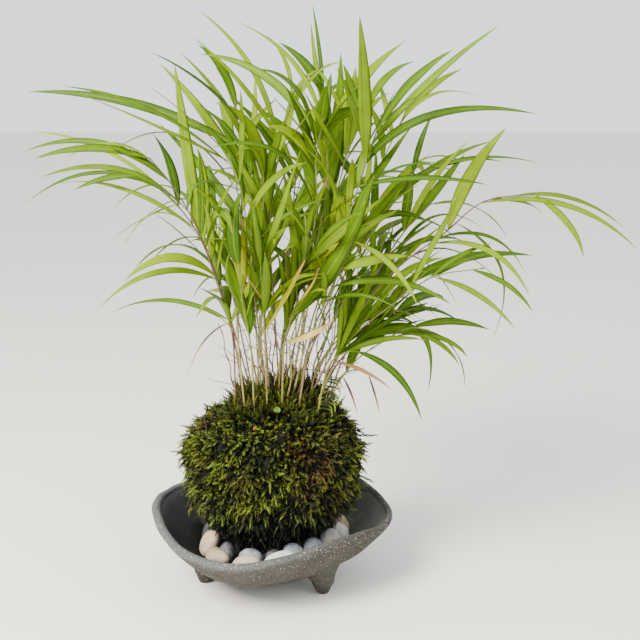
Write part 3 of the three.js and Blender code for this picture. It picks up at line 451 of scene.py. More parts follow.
def pebble_finish(name, low, high, vein, mottle):
    """A tumbled stone: two tones in clouds of 6 mm, faint veins, specks and a dull satin skin."""
    stone = new_material(name)
    place = add(stone, "TexCoord").outputs["Object"]
    tone = add(stone, "Attribute", attribute_name="tone").outputs["Fac"]
    cloud = add(stone, "TexNoise", {"Vector": place, "Scale": 170, "Detail": 4})
    mixed = add(stone, "Math", {0: cloud, 1: tone}, operation="ADD")
    body = add(stone, "ValToRGB", {"Fac": mixed}, stops=[(0.45, low), (1.0, high)])
    # Veins about 0.5 mm wide and 4 mm apart, on wavering lines of their own.
    bent = add(stone, "TexNoise", {"Vector": place, "Scale": 260, "Detail": 2, "Distortion": 1.5})
    stops = [(0.47, "#000000"), (0.5, "#ffffff"), (0.53, "#000000")]
    line = add(stone, "ValToRGB", {"Fac": bent}, stops)
    line = add(stone, "Math", {0: line, 1: mottle}, operation="MULTIPLY")
    veined = add(stone, "Mix", {0: line, 6: body, 7: vein}, data_type="RGBA")
    fleck = add(stone, "TexNoise", {"Vector": place, "Scale": 1500, "Detail": 2})
    flecked = add(stone, "MapRange", {"Value": fleck, 1: 0.3, 2: 0.7, 3: 0.86, 4: 1.1})
    colour = add(stone, "VectorMath", {0: veined, 1: flecked}, operation="MULTIPLY")
    rough = add(stone, "MapRange", {"Value": cloud, 3: 0.5, 4: 0.68})
    return finish_of(stone, colour, rough, fleck, 0.00012, IOR=1.54)


for slot_name, (words, look) in PEBBLE_KINDS.items():
    names = [name for name in PEBBLES if any(word in name for word in words)]
    stones = np.stack([pebble(name, list(PEBBLES).index(name)) for name in names])
    tones = np.array([PEBBLES[name][6] for name in names])[:, None]
    stones = shell(stones, lathe_faces(PEBBLE_LEVELS - 1, PEBBLE_SIDES), tone=tones)
    piece(slot_name + "_stones", [stones], [pebble_finish(*look)], slot_name, names)


# The soil ball: the firm core, fibrous potting soil and clay pressed round the roots. It keeps its
# solid, and shows only as dark crumbs where the moss is thin.
soil = new_material("potting_soil_pressed")
place = add(soil, "TexCoord").outputs["Object"]
# Crumbs of 2 mm with fibres between them.
crumb = add(soil, "TexVoronoi", {"Vector": place, "Scale": 500})
fibre = add(soil, "TexNoise", {"Vector": place, "Scale": 900, "Detail": 6})
earth = add(soil, "ValToRGB", {"Fac": fibre}, stops=[(0.35, "#1c140c"), (0.7, "#4a3826")])
damp = add(soil, "MapRange", {"Value": fibre, 3: 0.8, 4: 0.98})
finish_of(soil, earth, damp, crumb, 0.0008)
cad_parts["soil_ball"].data.materials.clear()
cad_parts["soil_ball"].data.materials.append(soil)


# The moss: a living sheet wrapped round the soil and grown together. Under it is a dark mat of old
# stems; out of it stand thousands of feathery shoots, upright and bright on the shoulders, hanging
# like thatch on the sides, brown where it dried. Their tone carries painted light on the lit left and
# painted shade on the right and low down. Some stand up round the feet of the grass.

# The ball's widest level, its half width there, how far it reaches over and under that level, and the
# powers that round it off; the crown's middle, spread and lift; and how much closer it was pressed.
BALL_HEIGHT = 63
MOSS_WIDE = 49.5
MOSS_OVER = 35.8
MOSS_UNDER = 41
SHOULDER_POWER = 3.2
BELLY_POWER = 1.95
CROWN_X = 11
CROWN_Y = 2
CROWN_SPREAD = 26
CROWN_LIFT = 8.5
CLOSER_LEFT = 2.2
CLOSER_UNDER = 1.5
# The soft tufts. Each, like each leaflet of a shoot, is turned on from the last by the golden angle.
# A leaflet's half width is a share of its reach.
TUFT_COUNT = 90
TUFT_SEED = 41
TUFT_TURN = 2.39996
LEAFLET_TURN = 2.4
LEAFLET_HALF = 0.42
MAT_SIDES = 220
MAT_LEVELS = 110
MAT_SUNK = 2.8
# Depth, size and seed of the ripples that roughen the mat.
MAT_RIPPLES = ((0.55, 3.2, 21), (0.6, 8, 22))
# The mound of upright moss round the grass, as middle and half widths, and the low place in front of
# it where the seedling stands, as middle and radius.
MOUND = (8, 0, 29, 25)
CLEARING = (6, -30, 7)
# Turn from the front, height, size and how dry, of each brown patch.
DRY_PATCHES = (
    (24, 92, 11, 1.0),
    (48, 95, 10, 0.8),
    (36, 80, 9, 0.7),
    (22, 70, 7, 0.45),
    (-53, 78, 7, 1.0),
    (-27, 89, 5, 0.8),
    (-17, 75, 7, 0.4),
    (10, 101, 8, 0.4),
    (58, 62, 8, 0.5),
    (140, 84, 11, 0.8),
    (-150, 62, 10, 0.6),
    (95, 55, 8, 0.5),
)
# The shoots from the mat outwards: seed, count, how deep they root, how far they stand off, shortest
# and longest, narrowest and widest, the share of fresh ones, and the leaflets on each.
SHOOT_BATCHES = (
    (101, 5200, 3.2, 0.45, (2.8, 4.8), (0.7, 1.1), 0.03, 18),
    (102, 5200, 2.8, 0.4, (3.2, 5.4), (0.75, 1.2), 0.08, 18),
    (103, 3200, 2.2, 0.3, (3.2, 5.6), (0.85, 1.25), 0.12, 18),
    (104, 2600, 2.2, 0.12, (4.8, 8), (0.85, 1.25), 0.36, 28),
)
# The lowest and highest tilt that shoots root at, and how far from the middle the painted light on
# the left and the painted shade on the right are full.
SHOOT_TILTS = (-1.25, 1.5)
SIDE_REACH = 45
# The upright shoots round the grass's feet: how many are drawn, between which turns from the front,
# how far out on the mound, and the place on the left where they become short.
CROWN_SHOOTS = 1100
CROWN_TURNS = (-78, 62)
CROWN_OUT = (0.62, 1.22)
CROWN_LEFT = -21
CROWN_SUNK = 1.5
# The camera's place, which also turns a place as the eye sees it into a place on the plant.
EYE = np.array([29.0, -640.0, 282.0])


def draws_from(seed):
    """Repeatable draws from 0 to 1: a counter mixed by shifts, exclusive ors and products."""
    state = seed
    while True:
        state = (state + 0x6D2B79F5) & 0xFFFFFFFF
        mixed = (state ^ state >> 15) * (state | 1) & 0xFFFFFFFF
        mixed ^= mixed + ((mixed ^ mixed >> 7) * (mixed | 61) & 0xFFFFFFFF) & 0xFFFFFFFF
        yield ((mixed ^ mixed >> 14) & 0xFFFFFFFF) / 4294967296


def moss_tufts():
    """The middles, heights and widths of the soft tufts, set round the ball in a spiral."""
    draws = draws_from(TUFT_SEED)
    ways, tall, wide = [], [], []
    for i in range(TUFT_COUNT):
        up = 1 - 2 * (i + 0.5) / TUFT_COUNT
        turn = i * TUFT_TURN + 0.5 * next(draws)
        out = math.sqrt(1 - up * up)
        ways.append((out * math.sin(turn), -out * math.cos(turn), up))
        tall.append((0.8 + 4 * next(draws)) * (0.35 if up < -0.35 else 1))
        wide.append(0.12 + 0.08 * next(draws))
    return np.array(ways), np.array(tall), np.array(wide)


TUFTS = moss_tufts()


def moss_relief(turn, tilt):
    """How far the moss swells: the highest of the round tufts over this place."""
    ways, tall, wide = TUFTS
    way = around(turn, np.cos(tilt), np.sin(tilt))
    away = np.linalg.norm(way[..., None, :] - ways, axis=-1)
    return (tall * np.exp(-((away / wide) ** 2))).max(-1)


def crown_lift(x, y):
    """How far the top of the ball rises round the foot of the grass: a flat topped bell."""
    return CROWN_LIFT * np.exp(-((np.hypot(x - CROWN_X, y - CROWN_Y) / CROWN_SPREAD) ** 4))


def ball_point(turn, tilt, sunk):
    """A place on the moss: full shoulders over its widest level and a rounder belly under it, each
    a power of the tilt, with its tufts and its crown, less a depth; it lies closer on the left and
    underneath, where it was pressed."""
    bend = 2 / np.where(tilt > 0, SHOULDER_POWER, BELLY_POWER)
    out = np.abs(np.cos(tilt)) ** bend
    up = np.sign(np.sin(tilt)) * np.abs(np.sin(tilt)) ** bend
    closer = CLOSER_LEFT * np.clip(-np.sin(turn), 0, 1) * np.cos(tilt) ** 3
    closer += CLOSER_UNDER * np.clip(-np.sin(2 * tilt), 0, 1) * (1 + 0.8 * np.sin(turn))
    grown = moss_relief(turn, tilt) - sunk - closer
    tall = np.where(up > 0, MOSS_OVER, MOSS_UNDER)
    place = around(turn, (MOSS_WIDE + grown) * out, BALL_HEIGHT + (tall + grown) * up)
    place[..., 0] += BALL_X
    place[..., 2] += np.where(up > 0, crown_lift(place[..., 0], place[..., 1]) * up, 0)
    return place


def moss_mat():
    """Rings of the ball from its bottom to its top, each place moved out from its middle by ripples."""
    turn = np.linspace(0, 2 * np.pi, MAT_SIDES, endpoint=False)
    tilt = -np.pi / 2 + np.pi * np.arange(1, MAT_LEVELS)[:, None] / MAT_LEVELS
    rows = ball_point(turn, tilt, MAT_SUNK)
    ends = ball_point(np.zeros(2), np.array([-np.pi / 2, np.pi / 2]), MAT_SUNK)
    points = np.concatenate([rows.reshape(-1, 3), ends])
    way = points - [0, 0, BALL_HEIGHT]
    way /= np.linalg.norm(way, axis=1)[:, None]
    points += way * sum(deep * ripple(points, size, seed) for deep, size, seed in MAT_RIPPLES)[:, None]
    return shell(points[None], lathe_faces(MAT_LEVELS - 1, MAT_SIDES), dry=dryness(points))


def dryness(points):
    """How brown the moss is: the patches, each a bell round its middle, over fainter clouds."""
    cloud = np.clip(ripple(points, 22, 31) - 0.35, 0, 1) * 0.4
    for turn, height, size, share in DRY_PATCHES:
        middle = around(math.radians(turn), 50, height)
        away = np.linalg.norm(points - middle, axis=-1) / size
        cloud = np.maximum(cloud, share * np.exp(-(away**2)))
    return np.clip(cloud, 0, 1)


def unit(way):
    """The same way with a length of one."""
    return way / np.linalg.norm(way, axis=-1, keepdims=True)


def tube(line, radius, sides):
    """Rings of points round a line: each lies square to the line, its first point towards +X."""
    along = unit(np.gradient(line, axis=0))
    across = unit(np.array([1.0, 0, 0]) - along * along[:, :1])
    third = np.cross(along, across)
    angle = np.linspace(0, 2 * np.pi, sides, endpoint=False)[:, None]
    spokes = np.cos(angle) * across[:, None] + np.sin(angle) * third[:, None]
    rings = line[:, None] + np.asarray(radius)[:, None, None] * spokes
    return np.concatenate([rings.reshape(-1, 3), line[[0, -1]]])


def shoots(root, way, bend, length, width, tone, dry, draw, leaves):
    """Feathery shoots: root + length (s way + s squared bend), leaflets set round it in a spiral.

    Leaflet i springs at s = (i + 0.4) / count, is turned 137 degrees on from the last, and is a
    narrow kite from the stem, out and well forward to its point; the kites shorten at both ends.
    """
    side = unit(np.cross(way, draw.normal(size=way.shape)))[:, None]
    over = np.cross(way[:, None], side)
    s = (np.arange(leaves) + 0.4) / leaves
    turn = (LEAFLET_TURN * np.arange(leaves))[:, None]

    def axis(step):
        step = step[:, None]
        return root[:, None] + length[:, None, None] * (step * way[:, None] + step**2 * bend[:, None])

    spoke = np.cos(turn) * side + np.sin(turn) * over
    across = np.cos(turn) * over - np.sin(turn) * side
    reach = width[:, None, None] * (0.5 + 0.65 * np.sin(np.pi * s**0.9))[:, None]
    middle = axis(s + 0.07) + 0.5 * reach * spoke
    tip = axis(s + 0.2) + reach * spoke
    half = LEAFLET_HALF * reach * across
    kites = np.stack([axis(s), middle + half, tip, middle - half], 2)
    grown = np.broadcast_to(s[:, None] + [0, 0.1, 0.25, 0.1], (len(root), leaves, 4))
    faces = [np.arange(4 * leaves).reshape(-1, 4)]
    points, grown = kites.reshape(len(root), -1, 3), grown.reshape(len(root), -1)
    return shell(points, faces, tip=grown, tone=tone[:, None], dry=dry[:, None])


def moss_roots(draw, count, sunk):
    """Places strewn evenly over the ball, and the way out of it there: the cross product of two steps
    along the moss. Of three times as many, each is kept by chance as large as its share of area."""
    turn = draw.uniform(0, 2 * np.pi, 3 * count)
    tilt = draw.uniform(*SHOOT_TILTS, 3 * count)
    step = 0.02
    root = ball_point(turn, tilt, sunk)
    east = ball_point(turn + step, tilt, sunk) - ball_point(turn - step, tilt, sunk)
    out = np.cross(east, ball_point(turn, tilt + step, sunk) - ball_point(turn, tilt - step, sunk))
    area = np.linalg.norm(out, axis=1)
    kept = draw.choice(len(root), count, replace=False, p=area / area.sum())
    return root[kept], out[kept] / area[kept, None]


def moss_shoots(seed, count, sunk, rise, lengths, widths, bright, leaves):
    """A batch of shoots, gathered in clumps, that lie as the moss does there: standing up on the
    shoulders and the mound, swept aside in places, hanging lower down. Each way is a weighted sum of
    the way out, the way it lies, straight up on the mound, and chance."""
    draw = np.random.default_rng(seed)
    root, out = moss_roots(draw, count, sunk)
    clump = np.clip(1.5 * ripple(root, 7, 36), -1, 1)
    root = root - (1.0 - 1.3 * clump)[:, None] * out
    high = np.clip((root[:, 2] - BALL_HEIGHT) / MOSS_OVER, -1, 1.2)
    upper_half = root[:, 2] > BALL_HEIGHT
    clearing = np.hypot(root[:, 0] - CLEARING[0], root[:, 1] - CLEARING[1]) / CLEARING[2]
    clearing = np.exp(-(clearing**4)) * upper_half
    crown = np.hypot((root[:, 0] - MOUND[0]) / MOUND[2], (root[:, 1] - MOUND[1]) / MOUND[3])
    crown = np.exp(-(crown**4)) * upper_half * (1 - clearing)

    # Downhill along the moss, swung to the side by a slow ripple and by chance.
    down = np.array([0, 0, -1.0]) + out * out[:, 2:]
    down /= np.maximum(np.linalg.norm(down, axis=1, keepdims=True), 0.2)
    sway = (1.9 * ripple(root, 13, 35) + draw.normal(0, 0.8, count))[:, None]
    lie = np.cos(sway) * down + np.sin(sway) * np.cross(out, down)
    stand = rise + 0.3 * np.clip(high, 0, 1) + 0.3 * ripple(root, 9, 37) + draw.normal(0, 0.2, count)
    stand = np.clip(stand, 0.08, rise + 0.55)[:, None]
    hang = np.clip(0.95 - 0.55 * high, 0.25, 1.2)[:, None] * (1 - 0.5 * crown[:, None])
    way = stand * out + hang * lie + crown[:, None] * [0, 0, 0.9] + draw.normal(0, 0.2, root.shape)
    bend = (0.3 - 0.45 * crown)[:, None] * np.array([0, 0, -1]) + 0.22 * out
    bend = bend + draw.normal(0, 0.18, root.shape)
    length = draw.uniform(*lengths, count)
    length = length * (1 + 0.15 * clump + 0.75 * crown * draw.random(count) - 0.4 * clearing)
    width = draw.uniform(*widths, count)

    # Painted light and shade in the tone: fresh, bright shoots stand mostly on the lit left; dull, dark
    # ones on the shaded right, low down in shade, in the hollows between clumps and in the mound in the
    # grass's shade.
    lit = np.clip(-root[:, 0] / SIDE_REACH, 0, 1) * np.clip(high + 0.6, 0, 1)
    right = np.clip(root[:, 0] / SIDE_REACH, 0, 1)
    shade = np.clip(-high, 0, 1)
    fresh_and_lit = draw.random(count) < bright * (1 + 0.7 * lit - 0.3 * right - 0.8 * crown - 0.9 * shade)
    dull_and_shaded = 0.12 + 0.24 * clump + 0.02 * lit + 0.14 * ripple(root, 20, 33)
    dull_and_shaded = dull_and_shaded - 0.17 * crown - 0.07 * right - 0.55 * shade
    dull_and_shaded = np.clip(dull_and_shaded + draw.normal(0, 0.14, count), 0, 0.65)
    tone = np.where(fresh_and_lit, draw.uniform(0.6, 1, count) - 0.2 * shade, dull_and_shaded)
    dry = np.clip(dryness(root) * 1.25 + draw.normal(0, 0.14, count), 0, 1)
    grown = shoots(root, unit(way), bend, length, width, tone, dry, draw, leaves)
    # Painted shade: the tips are darkened low down and in the hollows between clumps.
    grown["values"]["tip"] *= np.repeat((1 - 0.62 * shade) * (0.92 + 0.14 * clump), 4 * leaves)
    return grown


def seen(x, z, depth):
    """The place at this depth on the line of sight through x and z on the plane of the axis."""
    reach = (depth - EYE[1]) / -EYE[1]
    return np.array([EYE[0] + (x - EYE[0]) * reach, depth, EYE[2] + (z - EYE[2]) * reach])


def on_moss(x, z, over):
    """The place on the moss that the eye sees at x and z, lifted off by a little: of a fine net of
    places all round the front, the one whose line of sight is the nearest."""
    turn, tilt = np.meshgrid(np.radians(np.arange(-100, 101, 1.5)), np.linspace(-1.3, 1.5, 160))
    places = ball_point(turn, tilt, -over).reshape(-1, 3)
    reach = (places[:, 1] - EYE[1]) / -EYE[1]
    flat = EYE[[0, 2]] + (places[:, [0, 2]] - EYE[[0, 2]]) / reach[:, None]
    away = np.linalg.norm(flat - [x, z], axis=1) + 0.01 * places[:, 1]
    return places[np.argmin(away)]


# Shoots that stand clear of the rest: the place where the eye sees their foot, their way, how they
# bend, length, width of their leaflets and how dry they are. They root this deep.
STRAY_SUNK = 1
STRAY_SHOOTS = (
    (50, 60, (1, -0.2, -0.28), (0, 0, -0.1), 10, 1.0, 0.1),
    (42, 38.5, (1, -0.3, -0.25), (0.1, 0, 0.1), 8.5, 1.0, 0.05),
    (41.5, 37, (0.8, -0.3, -0.6), (0.3, 0, -0.2), 7, 0.55, 0.2),
    (-28, 104, (-0.3, -0.2, 1), (-0.2, 0, 0), 6, 0.8, 0),
    (-33, 98, (-0.7, -0.1, 0.8), (0, 0, 0.1), 6.5, 0.85, 0),
    (-38, 91, (-0.9, -0.1, 0.6), (0, 0, 0.2), 6, 0.85, 0),
    (51, 70, (1, -0.2, 0.3), (0, 0, 0.3), 3.5, 1.1, 0.1),
    (-8, 21, (-0.1, -0.5, -1), (0, 0, 0), 7, 0.7, 0),
    (33, 25, (0.2, -0.3, -1), (0.1, 0, 0), 8, 0.7, 0),
    (27, 28, (0, -0.3, -1), (-0.1, 0, 0), 7, 0.6, 0),
)


def crown_height(x, y):
    """The height of the smooth moss over a place on the table."""
    level = (np.hypot(x - BALL_X, y) / MOSS_WIDE) ** SHOULDER_POWER
    return BALL_HEIGHT + MOSS_OVER * (1 - level) ** (1 / SHOULDER_POWER) + crown_lift(x, y)


def crown_shoots():
    """Upright shoots crowded in front of the grass's feet, tallest on the left, that hide them."""
    draw = np.random.default_rng(106)
    turn = draw.uniform(*np.radians(CROWN_TURNS), CROWN_SHOOTS)
    out = draw.uniform(*CROWN_OUT, CROWN_SHOOTS)
    x = MOUND[0] + out * MOUND[2] * np.sin(turn)
    y = MOUND[1] - out * MOUND[3] * np.cos(turn)
    kept = np.hypot(x - CLEARING[0], y - CLEARING[1]) > CLEARING[2]
    x, y, turn, out = x[kept], y[kept], turn[kept], out[kept]
    root = np.stack([x, y, crown_height(x, y) - CROWN_SUNK], -1)
    way = unit(np.array([0, 0, 1.0]) + 0.25 * around(turn, 1, 0) + draw.normal(0, 0.2, root.shape))
    bend = draw.normal(0, 0.22, root.shape)
    left = np.clip((MOUND[0] - x) / MOUND[2], 0, 1)
    length = draw.uniform(0.65, 1.05, len(x)) * (7.5 + 8 * left) * (1.45 - 0.45 * out)
    length *= 0.35 + 0.65 * np.clip((x - CROWN_LEFT) / 7, 0, 1)
    width = draw.uniform(1.0, 1.4, len(x))
    # Their low, dark tone is painted shade under the grass.
    tone = np.clip(draw.normal(0.16, 0.16, len(x)), 0, 0.8)
    dry = np.clip(draw.normal(0.1, 0.2, len(x)), 0, 1)
    return shoots(root, way, bend, length, width, tone, dry, draw, leaves=20)


def stray_shoots():
    """The single shoots that stand clear of the rest."""
    draw = np.random.default_rng(105)
    rows = [(on_moss(x, z, -STRAY_SUNK), *row) for x, z, *row in STRAY_SHOOTS]
    root, way, bend, length, width, dry = (np.array(column, float) for column in zip(*rows))
    tone = draw.uniform(0.6, 1, len(rows))
    return shoots(root, unit(way), bend, length, width, tone, dry, draw, leaves=30)


# The curled frond on the right of the crown: the places its axis runs through, as the eye sees them.
FROND_AXIS = ((30.5, 98, -20), (32.5, 107, -21), (36, 117.5, -22))
FROND_HOOKS = 9
FROND_RINGS = 16
FROND_SIDES = 6
FROND_RADIUS = 0.6
FROND_THINNING = 0.33


def frond():
    """Plump strands: an axis, a curve through three places, with hooked side strands along it, each
    its foot + length (s way + s squared bend), long and curled on the right and short on the left."""
    foot, middle, top = (seen(*place) for place in FROND_AXIS)
    step = np.linspace(0, 1, FROND_RINGS)[:, None]
    axis = (1 - step) ** 2 * foot + 2 * step * (1 - step) * middle + step**2 * top
    lines = [axis]
    for i in range(FROND_HOOKS):
        rise = (i + 0.6) / FROND_HOOKS
        place = axis[round(rise * (FROND_RINGS - 1))]
        length = 17 - 9 * abs(rise - 0.55) - (i % 2) * 3
        right = place + length * (step * [0.97, -0.1, 0.02 - 0.1 * (i % 2)] + step**2 * [-0.6, 0, -0.36])
        left = place + length * 0.4 * (step * [-0.7, -0.5, 0.5] + step**2 * [0.1, 0, -0.5])
        lines += [right, left]
    radius = FROND_RADIUS - FROND_THINNING * step[:, 0]
    strands = np.stack([tube(line, radius, FROND_SIDES) for line in lines])
    grown = np.append(np.repeat(0.5 + 0.5 * step[:, 0], FROND_SIDES), [0.5, 1])
    return shell(strands, lathe_faces(FROND_RINGS, FROND_SIDES), tip=grown, tone=0.95, dry=0.08)


# Feather moss, alive: thin leaves of one cell that let light into them, dark and brown at the old
# foot of each shoot, its near black there also painted shade among the shoots, and yellow green at
# its growing tip; dried shoots turn rust brown.
def moss_finish():
    moss = new_material("feather_moss_living")
    place = add(moss, "TexCoord").outputs["Object"]
    keys = ("tip", "tone", "dry")
    tip, tone, dry = (add(moss, "Attribute", attribute_name=key).outputs["Fac"] for key in keys)
    dull_and_shaded, fresh_and_lit, rust = (
        add(moss, "ValToRGB", {"Fac": tip}, stops)
        for stops in (
            [(0.2, "#040502"), (1.0, "#1c2507"), (0.65, "#0a0f03")],
            [(0.2, "#070a03"), (1.0, "#788b1b"), (0.6, "#1d2705")],
            [(0.2, "#060403"), (1.0, "#54370f"), (0.65, "#181006")],
        )
    )
    # The tone and tip attributes also carry painted light and shade: brighter on the lit left, darker on the
    # shaded right, low down and in the hollows.
    live = add(moss, "Mix", {0: tone, 6: dull_and_shaded, 7: fresh_and_lit}, data_type="RGBA")
    mixed = add(moss, "Mix", {0: dry, 6: live, 7: rust}, data_type="RGBA")
    # Damp and dry leaflets differ from one millimetre to the next.
    grain = add(moss, "TexNoise", {"Vector": place, "Scale": 900, "Detail": 2})
    vary = add(moss, "MapRange", {"Value": grain, 1: 0.3, 2: 0.7, 3: 0.7, 4: 1.35})
    colour = add(moss, "VectorMath", {0: mixed, 1: vary}, operation="MULTIPLY")
    rough = add(moss, "MapRange", {"Value": grain, 3: 0.45, 4: 0.7})
    return finish_of(moss, colour, rough, grain, 0.0001, Specular_IOR_Level=0.25)


# The mat under the shoots: old brown stems, soil dust and shade.
def mat_finish():
    mat = new_material("moss_mat_old_stems")
    place = add(mat, "TexCoord").outputs["Object"]
    dry = add(mat, "Attribute", attribute_name="dry").outputs["Fac"]
    # Matted strands 1.4 mm thick.
    matted = {"Vector": place, "Scale": 700, "Detail": 5, "Distortion": 2}
    strand = add(mat, "TexNoise", matted)
    dark = add(mat, "ValToRGB", {"Fac": strand}, stops=[(0.35, "#080904"), (0.7, "#191d0a")])
    brown = add(mat, "ValToRGB", {"Fac": strand}, stops=[(0.35, "#0b0705"), (0.7, "#26180d")])
    colour = add(mat, "Mix", {0: dry, 6: dark, 7: brown}, data_type="RGBA")
    rough = add(mat, "MapRange", {"Value": strand, 3: 0.8, 4: 0.95})
    return finish_of(mat, colour, rough, strand, 0.001, Specular_IOR_Level=0.15)


MOSS = moss_finish()
piece("moss_mat", [moss_mat()], [mat_finish()], "moss", ["moss_cover"])
under, middle, upper, longest = (moss_shoots(*row) for row in SHOOT_BATCHES)
batches = ([under], [middle], [upper, crown_shoots()], [longest, stray_shoots(), frond()])
for i, batch in enumerate(batches):
    piece(f"moss_shoots_{i + 1}", batch, [MOSS], "moss")


# The grass: living culms as thin as straw, jointed every few centimetres, that stand in the ball and
# bear two ranks of ribbon blades, which grow on them. Culms are straw pale at the foot and purple
# brown above.
CULM_FOOT = 0.56
CULM_TOP = 0.34
CULM_SIDES = 8
CULM_RINGS = 60
COLLAR_HEIGHT = 2
# Each culm's root end goes this deep, turned from the culm's way this share towards upright.
ROOT_DEPTH = 20
LEAN_UPRIGHT = 0.72
# A culm's joints over its collar, how far each reaches along it, and how far it swells.
JOINTS = np.array([4, 13, 25, 40, 58, 79, 102, 127, 154, 183])
JOINT_REACH = 1.4
JOINT_SWELL = 0.14
JOINT_SHIFT = 5
# A blade's rings, the first and last ring's place along it, its section as places across and on the
# underside, and how thick and how folded it is at most.
BLADE_RINGS = 22
BLADE_ENDS = (0.012, 0.985)
BLADE_SIDE = np.array([-1, -0.5, 0, 0.5, 1, 0.5, 0, -0.5])
BLADE_UNDER = np.array([0, 0, 0, 0, 0, 1, 1, 1])
BLADE_THICK = 0.26
BLADE_FOLD = 0.42
# The steps of depth, or of turn, that a leaf's solid was tried at until it was clear of its neighbours.
NUDGES = (0, 7, -7, 14, -14, 21, -21, 29, -29, 38, -38, 48, -48)
TURN_PER_NUDGE = 0.018
